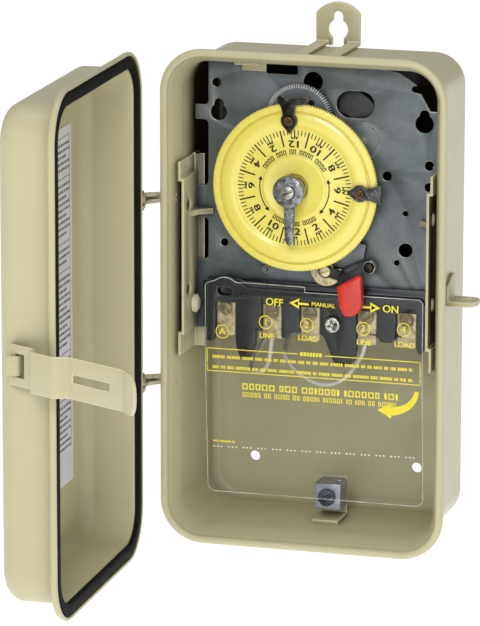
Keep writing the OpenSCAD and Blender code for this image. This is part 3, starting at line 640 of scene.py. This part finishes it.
def enclosure_box():
    """The drawn box: a rolled bead on a flared mouth, two wall holes, and knockouts scored in the floor."""
    wall, top, bead = -SHEET, CASE_D, 1.9
    lip, height = RIM_OUT - bead, top - bead
    profile = arc(-6, 6, 6, 270, 360, 8)
    profile += [(0, top - 14), (0.25, top - 12), (1.2, top - 8.2), (2.5, top - 4.4)]
    profile += arc(lip, height, bead, 235, 545, 22)
    profile += [(lip - bead - 0.7, height - 1.2), (0.9, top - 4.6)]
    profile += [(-0.4, top - 8.2), (-1.35, top - 12), (wall, top - 14)]
    profile += arc(-6, 6, 6 - SHEET, 360, 270, 8)
    bm = swept(profile, CASE_W, CASE_H, WALL_R)
    holes = bmesh.new()
    for side in (-1, 1):
        peg(holes, side * WALL_HOLE_X, WALL_HOLE_Y, 2.6, -2, 4)
    bm = cut(bm, holes)
    knockouts = bmesh.new()
    for side in (-1, 1):
        ring = turned_ring([(11.0, -1), (11.4, -1), (11.4, 1), (11.0, 1)], 0, 0, 48)
        place = Matrix.Translation((side * KNOCKOUT_X, -CASE_H / 2, KNOCKOUT_Z))
        ring.transform(place @ Matrix.Rotation(radians(90), 4, "X"))
        add(knockouts, ring)
    shallow = bmesh.new()
    block(shallow, -60, 60, -CASE_H / 2 - 1, -CASE_H / 2 + 0.5, 10, 60)
    bm = cut(bm, cut(knockouts, shallow, "INTERSECT"))
    piece = finish("box_shell", bm, "cabinet", "beige_paint", sharp=40, stands_for=["enclosure_box"])
    piece.data.materials.append(finish_of("shaded_shell_paint"))
    # Faces that look into the box take the shell paint, with its painted shade.
    middle = FRONT @ Vector((0, 0, CASE_D / 2))
    for face in piece.data.polygons:
        if face.normal.dot(middle - face.center) > 0:
            face.material_index = 1


def hardware():
    """Fixed and moving parts whose CAD shape is right, with their edges rounded."""
    for node, width in (
        ("hanger_tab", 0.5), ("padlock_staple", 0.5), ("plate_clip", 0.3), ("ground_bracket", 0.35),
        ("ground_lug", 0.45), ("mechanism_plate", 0.4), ("nylon_plug", 0.3), ("motor_body", 0.5),
        ("on_clip", 0.3), ("time_pointer", 0.35), ("lever_bracket", 0.25), ("lever_arm", 0.25),
        ("lever_cam", 0.2), ("terminal_plates", 0.2),
    ):
        softened(node, width)
    softened("lever_handle", 1.1, segments=4, sharp=60)
    for width, look, nodes in (
        (0.25, "gunmetal", ("off_clip",)),
        # The brackets take the shell paint, which carries the painted shade.
        (0.3, "shaded_shell_paint", ("left_bracket", "right_bracket")),
        (0.25, "hinge_metal", ("hinge_eyes", "hinge_forks", "hinge_pins")),
    ):
        for node in nodes:
            softened(node, width, look=look)


def terminal_body():
    """The terminal block, whose left arm ends level with the film's edge."""
    waste = bmesh.new()
    block(waste, -60, -52.7, -45, 8, 38.2, 50)
    bm = rounded_edges(cut(drawing_of("terminal_block"), waste), 0.35, 40, 2)
    piece = finish(
        "terminal_block_soft", bm, "cabinet", "block_black", sharp=50, stands_for=["terminal_block"],
    )
    # Its rounded edges take a lighter finish, a painted highlight.
    piece.data.materials.append(finish_of("block_edge_highlight"))


def hinge_links():
    """The two pressed strands of each hinge, from the rim's side out to its pin."""
    axis = pivot("door_swing")
    wall = -CASE_W / 2
    low, high = span("hinge_eyes")
    for name, y in (("upper", high.y - 1.5), ("lower", low.y + 1.5)):
        bm = bmesh.new()
        for side, lift in ((1, 0.5), (-1, -0.1)):
            path = [
                (wall + 0.4, y + side * 1.0 + lift, 57.6), (wall - 5, y + side * 1.1 + lift, 58.2),
                (wall - 9, y + side * 1.5, 59.6), (axis.x + 0.6, y + side * 1.8 - 0.3, 62.6),
                (axis.x - 0.4, y + side * 1.9 - 0.5, 65.6),
            ]
            tube(bm, smooth_line(path), 1.15, 14)
        finish("hinge_strands_" + name, bm, "cabinet", "hinge_metal")


def screws():
    """The screws and the lever's pin, rounded only where they are square."""
    for node, width, look in (
        ("block_screw", 0.5, None), ("terminal_screws", 0.35, None), ("pointer_screw", 0.3, None),
        ("motor_screws", 0.3, None), ("lever_pivot", 0.15, None), ("ground_screw", 0.4, "blue_steel"),
        ("on_clip_screw", 0.2, "bronze_screw"), ("off_clip_screw", 0.2, "bronze_screw"),
    ):
        softened(node, width, limit=50, look=look)


# ---- the dial ----


def dial_face():
    """The dial: a serrated rim, a groove, a raised band and a raised hub."""
    low = span("dial_face")[0].z
    hub_out, teeth, depth = 5.1, 180, 0.16

    def serrated(r, a):
        return depth * cos(teeth * a) if r > DIAL_R - 0.5 else 0

    rim = DIAL_R - 0.2
    edge = [(hub_out, low), (rim - 0.5, low), (rim, low + 0.5), (rim, 48.6), (rim - 0.6, 49.15), (37.3, 49.3)]
    groove = [(37.0, 49.0), (36.7, 48.6), (36.3, 48.7), (36.0, 49.3)]
    band = [(34.6, 49.9), (33.2, 50.15), (31.6, 50.25), (30.2, 50.1), (29.3, 49.7), (28.8, 49.3), (28.2, DIAL_TOP)]
    hub = [(16.4, DIAL_TOP), (15.9, 49.4), (15.5, 49.9), (15.0, 50.15), (14.4, 50.15), (13.6, 49.9)]
    hub += [(10, 49.6), (7.0, 49.6), (6.6, 49.2), (6.6, 48), (hub_out, 48)]
    bm = turned_ring(edge + groove + band + hub, DIAL.x, DIAL.y, 6 * teeth, serrated)
    finish("dial_ring", bm, "dial", "dial_yellow", sharp=40, stands_for=["dial_face"])


def on_dial(radius, degrees):
    """A place on the dial, by its angle from the top, clockwise."""
    a = radians(degrees)
    return DIAL.x + radius * sin(a), DIAL.y + radius * cos(a)


def dial_print():
    """The day in print: a mark each quarter of an hour, the even hours, and two setting arrows."""
    bm = bmesh.new()
    z = DIAL_TOP + DIAL_INK
    for k in range(96):
        inner, half = 25.4, 0.22
        if k % 8 == 4:
            inner, half = 20.0, 0.36
        elif k % 4 == 0:
            inner, half = 24.9, 0.28
        mark(bm, 3.75 * k, half, inner, 27.9, z)
    hours = (12, 10, 8, 6, 4, 2)
    for k in range(12):
        turn = 30 * k
        x, y = on_dial(21.3, turn)
        letters(bm, str(hours[k % 6]), 4.5, x, y, z, 180 - turn, bold=0.2, wide=1.4)
        x, y = on_dial(24.3, turn)
        letters(bm, "AM" if k < 6 else "PM", 2.2, x, y, z, 180 - turn, bold=0.12, wide=1.15)
    for start in (73, 226):
        setting_arrow(bm, start, 61, z)
    for middle, words in ((0, (4, 3, 2, 4, 4)), (180, (4, 3, 4))):
        wording(bm, middle, words, z)
    finish("dial_marks", bm, "dial", "black_ink")


def mark(bm, turn, half, inner, outer, z, aside=0):
    """A straight mark that points to the dial's middle, or a little to its side."""
    place = Matrix.Translation((DIAL.x, DIAL.y, 0)) @ Matrix.Rotation(radians(-turn), 4, "Z")
    left, right = aside - half, aside + half
    corners = [(left, inner), (right, inner), (right, outer), (left, outer)]
    prism(bm, corners, z - DIAL_INK, z + DIAL_INK, place)


def wording(bm, middle, words, z):
    """Empty frames round the hub, where the dial has small wording."""
    step, space, line, half = 5.9, 4.6, 0.42, 0.72
    inner, outer = 16.1, 18.5
    length = sum(words) * step + (len(words) - 1) * space
    turn = middle - length / 2 + step / 2
    for count in words:
        for _ in range(count):
            for side in (-1, 1):
                mark(bm, turn, line / 2, inner, outer, z, side * (half - line / 2))
            for low in (inner, outer - line):
                mark(bm, turn, half - line, low, low + line, z)
            turn += step
        turn += space


def setting_arrow(bm, start, sweep, z):
    """A curved arrow with a head at each end."""
    radius, half, steps = 17.1, 0.26, 16
    end = start + sweep
    for k in range(steps):
        a, b = (start + 3 + (sweep - 6) * q / steps for q in (k, k + 1))
        ring = ((radius - half, a), (radius + half, a), (radius + half, b), (radius - half, b))
        prism(bm, [on_dial(*p) for p in ring], z - DIAL_INK, z + DIAL_INK)
    for tip, tail in ((start, start + 7), (end, end - 7)):
        head = ((radius, tip), (radius - 1.1, tail), (radius + 1.1, tail))
        prism(bm, [on_dial(*p) for p in head], z - DIAL_INK, z + DIAL_INK)


def gear_wheel():
    """The toothed wheel over the dial: a dull disc with teeth painted bright, a painted glint."""
    centre = pivot("wheel_spin")
    low, high = span("gear_wheel")
    tip, teeth = (high.x - low.x) / 2, 80
    root = tip - 1.5
    bm = bmesh.new()
    prism(bm, arc(centre.x, centre.y, root, 0, 357, 119), low.z, high.z)
    holes = bmesh.new()
    bore = (span("wheel_post")[1].x - span("wheel_post")[0].x) / 2 + 0.05
    peg(holes, centre.x, centre.y, bore, low.z - 1, high.z + 1)
    for k in range(3):
        a = radians(50 + 120 * k)
        peg(holes, centre.x + 9.5 * cos(a), centre.y + 9.5 * sin(a), 1.6, low.z - 1, high.z + 1, 24)
    bm = rounded_edges(cut(bm, holes), 0.1, 35, 1)
    finish("gear_wheel_disc", bm, "wheel", "wheel_steel", stands_for=["gear_wheel"])
    cogs = bmesh.new()
    tooth = [(root - 0.4, -0.44), (tip, -0.28), (tip, 0.28), (root - 0.4, 0.44)]
    for k in range(teeth):
        place = Matrix.Translation((centre.x, centre.y, 0)) @ Matrix.Rotation(2 * pi * k / teeth, 4, "Z")
        prism(cogs, tooth, low.z + 0.03, high.z + 0.03, place)
    finish("gear_wheel_teeth", cogs, "wheel", "tooth_glint_steel")


def toggle_spring():
    """The coil beside the lever."""
    low, high = span("toggle_spring")
    centre = (low + high) / 2
    wire, turns, per_turn = 0.42, 6, 28
    reach = (high.x - low.x) / 2 - wire
    steps = per_turn * turns
    line = []
    for k in range(steps + 1):
        a = 2 * pi * k / per_turn
        rise = low.z + wire + (high.z - low.z - 2 * wire) * k / steps
        line.append((centre.x + reach * cos(a), centre.y + reach * sin(a), rise))
    bm = bmesh.new()
    tube(bm, line, wire, 10)
    finish("toggle_coil", bm, "cabinet", "zinc_steel", stands_for=["toggle_spring"])


# ---- the film over the terminals ----

FILM_LEFT, FILM_RIGHT, FILM_TOP, FILM_END, FILM_H = -53.4, 54.6, 2.2, -100.5, 45.55
FILM_THICK = 0.3
HUMP_X = -43.5
FLAP_TILT = 4
FLAP_LEFT = -53.3
PRINT_H = 0.2  # of print above the film's middle
RULE = 0.45
FRAME_LEFT, FRAME_RIGHT, FRAME_TOP, FRAME_END = -52.5, 53.7, -28.0, -39.6


def film_height(y):
    """Height of the film's middle: flat above the crease, then leaning back."""
    below = max(CREASE.y - y, 0)
    return FILM_H - below * tan(radians(FLAP_TILT))


def film_outline():
    """The whole sheet seen from the front: a hump and a notch at the top, rounded corners at the end."""
    r, hump_r = 4, 7.2
    outline = [(FILM_RIGHT, FILM_TOP - 1.5), (FILM_RIGHT - 1.5, FILM_TOP), (-3.4, FILM_TOP), (-3.6, FILM_TOP + 2.6)]
    outline += [(-32, FILM_TOP + 2.9), (HUMP_X + 6, 4.9)] + arc(HUMP_X, 0, hump_r, 50, 130, 8)
    outline += [(FILM_LEFT + 1.5, 4.2), (FILM_LEFT, 3), (FILM_LEFT, -24.5), (FLAP_LEFT, -25.5)]
    outline += arc(FLAP_LEFT + r, FILM_END + r, r, 180, 270) + arc(FILM_RIGHT - r, FILM_END + r, r, 270, 360)
    return outline


def film_rim(bm, thick):
    """The sheet's cut edge, which catches the light, as a narrow band all the way round."""
    rim = bmesh.new()
    prism(rim, film_outline(), -thick / 2, thick / 2)
    bmesh.ops.recalc_face_normals(rim, faces=rim.faces)
    flat = [face for face in rim.faces if abs(face.normal.z) > 0.5]
    for face in flat:
        bmesh.ops.inset_region(rim, faces=[face], thickness=0.32, use_even_offset=True)
    bmesh.ops.delete(rim, geom=flat, context="FACES_ONLY")
    # The band takes the edge finish, a painted highlight.
    for face in rim.faces:
        face.material_index = 1
    add(bm, rim)


def film():
    """One sheet of clear film, bent along its crease and leant back below it."""
    bm = bmesh.new()
    prism(bm, film_outline(), -FILM_THICK / 2, FILM_THICK / 2)
    holes = bmesh.new()
    low, high = span("block_screw")
    screw = (low + high) / 2
    peg(holes, screw.x, screw.y, 2.2, -2, 2)
    prism(holes, stadium(8, 4.4), -2, 2, Matrix.Translation((HUMP_X, 0, 0)))
    bm = cut(bm, holes)
    for face in bm.faces:
        # The cut sides take the edge finish, a painted highlight.
        face.material_index = 0 if abs(face.normal.z) > 0.5 else 1
    film_rim(bm, FILM_THICK + 0.02)
    bends = [CREASE.y + 1 - 0.25 * k for k in range(9)] + [CREASE.y - 8 * k for k in range(1, 8)]
    for y in bends + [-8, -16, -24, -30]:
        everything = bm.verts[:] + bm.edges[:] + bm.faces[:]
        bmesh.ops.bisect_plane(bm, geom=everything, plane_co=(0, y, 0), plane_no=(0, 1, 0))
    for vert in bm.verts:
        vert.co.z += film_height(vert.co.y)
    both = ["insulator_top", "insulator_flap"]
    piece = finish("film_sheet", bm, "cabinet", "clear_sheet", sharp=50, stands_for=both)
    piece.parent = None
    del piece["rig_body"]
    piece.data.materials.append(finish_of("film_edge_highlight"))
    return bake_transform(piece)


def arrow(bm, tip, tail, half, z):
    """A flat arrow that points from tail to tip, with an open head."""
    (x0, y0), (x1, y1) = tail, tip
    length = hypot(x1 - x0, y1 - y0)
    along = ((x1 - x0) / length, (y1 - y0) / length)
    across = (-along[1], along[0])
    head = half * 2.0
    neck = (x1 - along[0] * head * 1.25, y1 - along[1] * head * 1.25)

    def spot(forward, side):
        return (neck[0] + along[0] * forward + across[0] * side, neck[1] + along[1] * forward + across[1] * side)

    back, thin = -(length - head * 1.25), half * 0.4
    shaft = [spot(back, -thin), spot(0, -thin), spot(0, thin), spot(back, thin)]
    prism(bm, shaft, z - INK, z + INK)
    outer = [spot(0, -head), spot(head * 1.9, 0), spot(0, head)]
    inner = [spot(0.55, -head * 0.45), spot(head * 1.05, 0), spot(0.55, head * 0.45)]
    for k in range(3):
        corners = [outer[k], outer[(k + 1) % 3], inner[(k + 1) % 3], inner[k]]
        prism(bm, corners, z - INK, z + INK)


def terminal_print():
    """Print on the fixed part of the film, over the terminals."""
    bm = bmesh.new()
    z = FILM_H + PRINT_H
    letters(bm, "OFF", 5.0, -18.7, -3.7, z, -2, bold=0.12)
    letters(bm, "MANUAL", 2.9, 5.6, -3.5, z, -2, bold=0.07)
    letters(bm, "ON", 5.0, 38.8, -3.4, z, -2, bold=0.12)
    arrow(bm, (-9.6, -3.4), (-1.6, -3.6), 1.3, z)
    arrow(bm, (32.0, -3.1), (24.0, -3.1), 1.3, z)
    places = ((-44.6, -19.7), (-23, -13.7), (-2.5, -13.7), (25.4, -13.7), (45.3, -12.9))
    r, low, high = 3.4, z - INK, z + INK
    for sign, (x, y) in zip("A1234", places):
        add(bm, turned_ring([(r - RULE, low), (r, low), (r, high), (r - RULE, high)], x, y, 40))
        letters(bm, sign, 4.4, x, y, z, 0, bold=0.08)
    for word, x in (("LINE", -22.4), ("LOAD", -2.0), ("LINE", 25.8), ("LOAD", 45.7)):
        letters(bm, word, 3.7, x, -20.4, z, -2, bold=0.08)
    finish("film_terminal_marks", bm, "cabinet", "yellow_ink")


def frame_sides(bm, low, high, z):
    """The two sides of the frame round the notice."""
    for x in (FRAME_LEFT, FRAME_RIGHT - RULE):
        patch(bm, x, x + RULE, low, high, z)


def notice_print():
    """The upper rule and sides of the frame round the notice, and its two rows of small print."""
    bm = bmesh.new()
    z = FILM_H + PRINT_H
    patch(bm, FRAME_LEFT, -7, FRAME_TOP - RULE, FRAME_TOP, z)
    patch(bm, 6.5, FRAME_RIGHT, FRAME_TOP - RULE, FRAME_TOP, z)
    bars(bm, -5.8, 5.8, FRAME_TOP - 0.1, 1.9, z, 3, words=(7, 7), wide=0.6)
    frame_sides(bm, CREASE.y + 0.3, FRAME_TOP, z)
    bars(bm, -49.5, 50, -32.2, 1.5, z, 5, wide=0.55)
    finish("film_notice_marks", bm, "cabinet", "yellow_ink")


def flap_print():
    """Print on the hinged part of the film: drawn flat, then leant back with it."""
    bm = bmesh.new()
    z = PRINT_H
    patch(bm, FRAME_LEFT, FRAME_RIGHT, FRAME_END, FRAME_END + RULE, z)
    frame_sides(bm, FRAME_END, CREASE.y - 0.3, z)
    bars(bm, -49.5, 50, -37.3, 1.5, z, 8, wide=0.55)
    bars(bm, -34.8, 42.8, -46.2, 3.1, z, 11, wide=0.78, gap=0.24, line=0.62)
    bars(bm, -34.8, 42.8, -50.3, 2.3, z, 12, wide=0.6, gap=0.24, line=0.4)
    bars(bm, -50, -39, -74.8, 0.9, z, 13, wide=0.7)
    lifting_arrow(bm, z)
    bm.transform(leaning())
    finish("film_flap_marks", bm, "flap", "yellow_ink")


def leaning():
    """Leans what is drawn flat back with the hinged part of the film."""
    lean = Matrix.Translation((0, CREASE.y, FILM_H)) @ Matrix.Rotation(radians(FLAP_TILT), 4, "X")
    return lean @ Matrix.Translation((0, -CREASE.y, 0))


def perforation():
    """The row of pricked dots across the hinged part, three and a gap at a time."""
    bm = bmesh.new()
    last = 55
    for k in range(last + 1):
        if k % 4 < 3:
            x, y = -49.9 + 101.4 * k / last, -77.9 + 1.6 * k / last
            block(bm, x, x + 0.8, y, y + 0.65, 0.18, 0.26)
    bm.transform(leaning())
    finish("film_dots", bm, "flap", "white_ink")


def lifting_arrow(bm, z):
    """A thick arrow that curves down and to the left."""
    centre_x, centre_y, radius, squash, steps = 38.6, -42.0, 13.2, 0.86, 14
    for k in range(steps):
        corners = []
        for share, side in ((k, -1), (k, 1), (k + 1, 1), (k + 1, -1)):
            a = radians(-4 - 84 * share / steps)
            half = side * (1.0 + 1.2 * share / steps)
            x, y = (radius + half) * cos(a), (radius * squash + half) * sin(a)
            corners.append((centre_x + x, centre_y + y))
        prism(bm, corners, z - INK, z + INK)
    y = centre_y - radius * squash
    head = [(centre_x + 0.6, y - 3.9), (centre_x + 0.6, y + 3.9), (centre_x - 6.2, y + 0.2)]
    prism(bm, head, z - INK, z + INK)


# ---- the leads ----

LINE_ROUTE = [
    (-20.8, -22.2, 42.4), (-21.4, -28, 42.4), (-22.1, -32, 42), (-23.4, -36, 41), (-26, -39.2, 39.4),
    (-30.2, -40.8, 36.5), (-34.2, -41, 31.5), (-35.4, -38, 24), (-32, -29, 14.5), (-23, -15, 10),
    (-10, 2, 8), (0, 24, 8), (3, 42, 10), (4, 51, 14), (4, 56.6, 16),
]
LOAD_ROUTE = [
    (25.6, -21.6, 42.4), (24.2, -27, 42.4), (21, -32.4, 42), (17, -37.7, 41.5), (11.4, -42, 40.5),
    (5.5, -43.8, 39.5), (-1, -43.4, 38), (-7.5, -40.9, 35.8), (-13.9, -37.1, 32.5), (-18.3, -33, 28),
    (-19.5, -28.6, 21), (-16, -19, 12.5), (-6, -3, 8.4), (5, 14, 8), (11, 29, 8), (13.5, 42, 10),
    (14, 51, 14), (14, 56.6, 16),
]


def lead(name, route, node):
    """A lead from its terminal to the motor."""
    bm = bmesh.new()
    tube(bm, smooth_line(route), 1.1, 14)
    finish(name, bm, "cabinet", "lead_white", stands_for=[node])


# ---- the cover, drawn closed and then opened ----

FLANGE_BACK = CASE_D + 2
FLANGE_FRONT = FLANGE_BACK + SHEET
DOOR_W = RIM_W + 5
DOOR_H = RIM_H + 5
DOOR_R = WALL_R + RIM_OUT + 2.5
FLANGE_W = 7
DISH_FRONT = FLANGE_BACK + 26 + SHEET
DISH_W = DOOR_W - 2 * FLANGE_W
DISH_H = DOOR_H - 2 * FLANGE_W
HOOK_H = DISH_FRONT - 9.1


def door_shell():
    """The pressed cover: lip, flange and dish, with the strap's hook on its side."""
    edge, lip_back = 9, FLANGE_FRONT - 3.6
    out = [(0, lip_back + 0.4)] + arc(-2.2, FLANGE_FRONT - 2.2, 2.2, 0, 90)
    out += arc(-FLANGE_W + 1.8, FLANGE_FRONT + 1.8, 1.8, 270, 180)
    out += arc(-FLANGE_W - edge, DISH_FRONT - edge, edge, 0, 90, 10)
    back = arc(-FLANGE_W - edge, DISH_FRONT - edge, edge - SHEET, 90, 0, 10)
    back += arc(-FLANGE_W - SHEET + 1.2, FLANGE_BACK + 1.2, 1.2, 180, 270, 4)
    back += arc(-SHEET - 0.8, FLANGE_BACK - 0.8, 0.8, 90, 0, 4)
    back += [(-SHEET, lip_back + 0.3), (-SHEET + 0.3, lip_back), (-0.4, lip_back)]
    bm = bmesh.new()
    rings = []
    for o, z in out + back:
        extra = 2 if o < 1.5 - FLANGE_W else 0
        outline = rounded(DOOR_W + 2 * o, DOOR_H + 2 * o, DOOR_R + o + extra)
        rings.append(loop(bm, [(x, y, z) for x, y in outline]))
    turn = len(out)
    bridge(bm, rings[:turn])
    bridge(bm, rings[turn:] + [rings[0]])
    bm.faces.new(rings[turn - 1])
    bm.faces.new(rings[turn])
    hook = bmesh.new()
    low, tip = HOOK_H - 3.1, DISH_W / 2 + 6.2
    strip(hook, bend([(DISH_W / 2 - 1, low), (tip, low), (tip, HOOK_H + 2.8)], 1.2), lambda along, total: 4.6)
    add(bm, rounded_edges(hook, 0.3))
    finish("cover_shell", bm, "door", "beige_paint", OPENED @ FRONT, stands_for=["door_shell"])


STRAP = 1.4  # thickness of the strap and of its hook


def bend(path, radius):
    """A path with its corners rounded, as a list of points."""
    steps = 6
    points = [Vector(path[0])]
    for a, b, c in zip(path, path[1:], path[2:]):
        a, b, c = Vector(a), Vector(b), Vector(c)
        back, on = (a - b).normalized(), (c - b).normalized()
        half = acos(max(-1, min(1, back.dot(on)))) / 2
        reach = min(radius / tan(half), (a - b).length * 0.45, (c - b).length * 0.45)
        start, end = b + back * reach, b + on * reach
        for k in range(steps + 1):
            t = k / steps
            points.append(start * (1 - t) ** 2 + b * 2 * t * (1 - t) + end * t * t)
    return points + [Vector(path[-1])]


def strip(bm, line, half_width):
    """A bent strip of metal: the line holds (x, height), and it reaches half_width up and down."""
    lengths = [0]
    for a, b in zip(line, line[1:]):
        lengths.append(lengths[-1] + (b - a).length)
    rings = []
    for i, point in enumerate(line):
        along = heading(line, i)
        out = Vector((-along.y, along.x)) * STRAP / 2
        half = half_width(lengths[i], lengths[-1])
        a, b = point + out, point - out
        rings.append(loop(bm, [(a.x, -half, a.y), (a.x, half, a.y), (b.x, half, b.y), (b.x, -half, b.y)]))
    solid(bm, rings)


def latch_strap():
    """The strap that hooks into the cover's side and closes over the padlock staple."""
    x0, over, inside = DISH_W / 2 + 3.6, DOOR_W / 2 + 1.7, RIM_W / 2 - 1.2
    path = [(x0, HOOK_H + 2.5), (x0, HOOK_H - 14), (over, HOOK_H - 16.3), (over, 55)]
    path += [(inside, 51), (inside, 16), (inside + 6.3, 2.2)]
    half, corner = 9.5, 7.8

    def half_width(along, total):
        d = min(total - along, corner)
        return half - corner + sqrt(max(corner**2 - (corner - d) ** 2, 0)) if d < corner else half

    line = bend(path, 4)
    last, before = line[-1], line[-2]
    line[-1:] = [before + (last - before) * (1 - (1 - k / 12) ** 1.6) for k in range(1, 13)]
    bm = bmesh.new()
    strip(bm, line, half_width)
    holes = bmesh.new()
    block(holes, x0 - 3, x0 + 3, -5.5, 5.5, HOOK_H - 7.5, HOOK_H - 1.5)
    block(holes, inside - 4, inside + 4, -1.8, 1.8, 24.4, 48)
    bm = rounded_edges(cut(bm, holes), 0.35, 55)
    piece = finish("strap", bm, "latch", "beige_paint", UNLATCHED @ FRONT, stands_for=["latch_strap"])
    # The strap's rounded edges take a lighter finish, a painted highlight.
    piece.data.materials.append(finish_of("paint_edge_highlight"))


def door_gasket():
    """A soft black strip round the dish, with a small gap where its ends meet."""
    w, h, r = DISH_W + 3.9, DISH_H + 3.9, DOOR_R - 5.05
    corners = rounded(w, h, r, 20)
    line = []
    for a, b in zip(corners, corners[1:] + corners[:1]):
        a, b = Vector(a), Vector(b)
        count = max(1, int((b - a).length / 4))
        line += [a + (b - a) * k / count for k in range(count)]
    gap_at = min(range(len(line)), key=lambda k: (line[k] - Vector((4, -h / 2))).length)
    line = line[gap_at:] + line[:gap_at]
    line.append(line[-1].lerp(line[0], 0.8))
    chance = random.Random(4)
    section = [(2.9, -0.95), (2.8, 0.3), (2.1, 0.85), (0.6, 0.95), (-1.1, 0.95), (-2.3, 0.8), (-2.9, 0.3)]
    section.append((-2.9, -0.95))
    middle = FLANGE_BACK - 0.97
    bm = bmesh.new()
    rings = []
    wander = 0
    for i, point in enumerate(line):
        along = heading(line, i)
        out = Vector((along.y, -along.x))
        wander = 0.85 * wander + chance.uniform(-0.06, 0.06)
        wide = 1 + wander * 0.15
        rings.append(loop(bm, [(*(point + out * (s * wide + wander)), middle - t) for s, t in section]))
    solid(bm, rings)
    finish("gasket", bm, "door", "gasket_black", OPENED @ FRONT, sharp=60, stands_for=["door_gasket"])


def door_label():
    """A paper label inside the dish, a little lifted along one side."""
    w, h, columns, rows = 78, 172, 12, 24
    x0, y0 = -9 - w / 2, 3 - h / 2
    back = DISH_FRONT - SHEET - 0.06
    bm = bmesh.new()
    skins = []
    for down in (0, 0.16):
        rings = []
        for i in range(rows + 1):
            y = y0 + h * i / rows
            row = []
            for k in range(columns + 1):
                lift = 0.5 * (max(k - 10, 0) / 2) ** 2 * (0.4 + 0.6 * sin(i * 0.7) ** 2)
                row.append((x0 + w * k / columns, y, back - down - lift))
            rings.append(loop(bm, row))
        bridge(bm, rings, closed_ring=False)
        skins.append(rings)
    outer = [
        [row[0] for row in rings] + rings[-1][1:] + [row[-1] for row in rings[-2::-1]] + rings[0][-2:0:-1]
        for rings in skins
    ]
    bridge(bm, outer)
    finish("label_sheet", bm, "door", "label_paper", OPENED @ FRONT, sharp=60, stands_for=["door_label"])


def label_print():
    """Rules and rows of bars where the label has small print."""
    bm = bmesh.new()
    z = DISH_FRONT - SHEET - 0.24
    left, right = -45, 23
    y = 84.0
    for section, rows in enumerate((5, 9, 3, 12, 6, 8)):
        patch(bm, left, right, y, y + 0.4, z)
        y -= 3.2
        for k in range(rows):
            indent, short = 6 if k % 3 == 2 else 1, (k * 7) % 22
            bars(bm, left + indent, right - short, y, 1.2, z, 100 * section + k)
            y -= 2.9
        y -= 1.6
    for x in (left, right):
        patch(bm, x, x + 0.4, y + 3, 84.4, z)
    finish("label_marks", bm, "door", "grey_ink", OPENED @ FRONT)


# ---- the studio ----

LIT = (-0.03, -0.04, 0)  # where the lights point


def floor():
    """A plain pale floor that glows a little, below the object."""
    bm = bmesh.new()
    level = CAD_BOX[0][2] - 0.12
    corners = [(-9, -6, level), (9, -6, level), (9, 16, level), (-9, 16, level)]
    bm.faces.new(loop(bm, corners))
    piece = placed("floor", meshed("floor", bm))
    made = Finish("floor_white", (0.9, 0.9, 0.9), rough=0.9)
    made.set(Emission_Color=(1, 1, 1, 1), Emission_Strength=0.65)
    piece.data.materials.append(made.done())


def area_light(name, place, size, power):
    """A soft rectangular light."""
    data = bpy.data.lights.new(name, "AREA")
    data.shape = "RECTANGLE"
    data.size, data.size_y = size
    data.energy = power
    light = placed(name, data)
    light.location = place
    light.rotation_mode = "QUATERNION"
    light.rotation_quaternion = (Vector(LIT) - Vector(place)).to_track_quat("-Z", "Y")


def studio():
    """A pale world and three soft lights."""
    scene = bpy.context.scene
    scene.view_settings.view_transform = "Standard"
    world = bpy.data.worlds.new("studio")
    world.use_nodes = True
    background = world.node_tree.nodes["Background"]
    background.inputs["Color"].default_value = (1, 1, 1, 1)
    background.inputs["Strength"].default_value = 0.38
    scene.world = world
    area_light("key", (0.2, -1.8, 1.0), (0.6, 0.6), 13)
    area_light("fill", (0.35, -2.0, -0.1), (1.2, 1.2), 8)
    area_light("top", (-0.1, -0.3, 1.7), (1.4, 0.8), 7)


def camera():
    """Right of the front and a little above it, as the photograph looks."""
    data = bpy.data.cameras.new("camera")
    data.sensor_width = 36
    data.lens = 270.35
    data.clip_start, data.clip_end = 0.1, 100
    eye = placed("camera", data)
    azimuth, height, roll, distance = radians(16.484), radians(12.832), radians(0.109), 2.30236
    aim = Vector((-0.04934, 0, -0.02089))
    level = cos(height)
    back = Vector((sin(azimuth) * level, -cos(azimuth) * level, sin(height)))
    eye.location = aim + back * distance
    eye.rotation_mode = "QUATERNION"
    eye.rotation_quaternion = (-back).to_track_quat("-Z", "Y") @ Matrix.Rotation(roll, 4, "Z").to_quaternion()
    bpy.context.scene.camera = eye


camera()
studio()
floor()
paint_cad()
enclosure_box()
hardware()
hinge_links()
terminal_body()
screws()
dial_face()
dial_print()
gear_wheel()
toggle_spring()
film()
terminal_print()
notice_print()
flap_print()
perforation()
lead("line_lead", LINE_ROUTE, "motor_lead_line")
lead("load_lead", LOAD_ROUTE, "motor_lead_load")
door_shell()
door_gasket()
door_label()
label_print()
latch_strap()
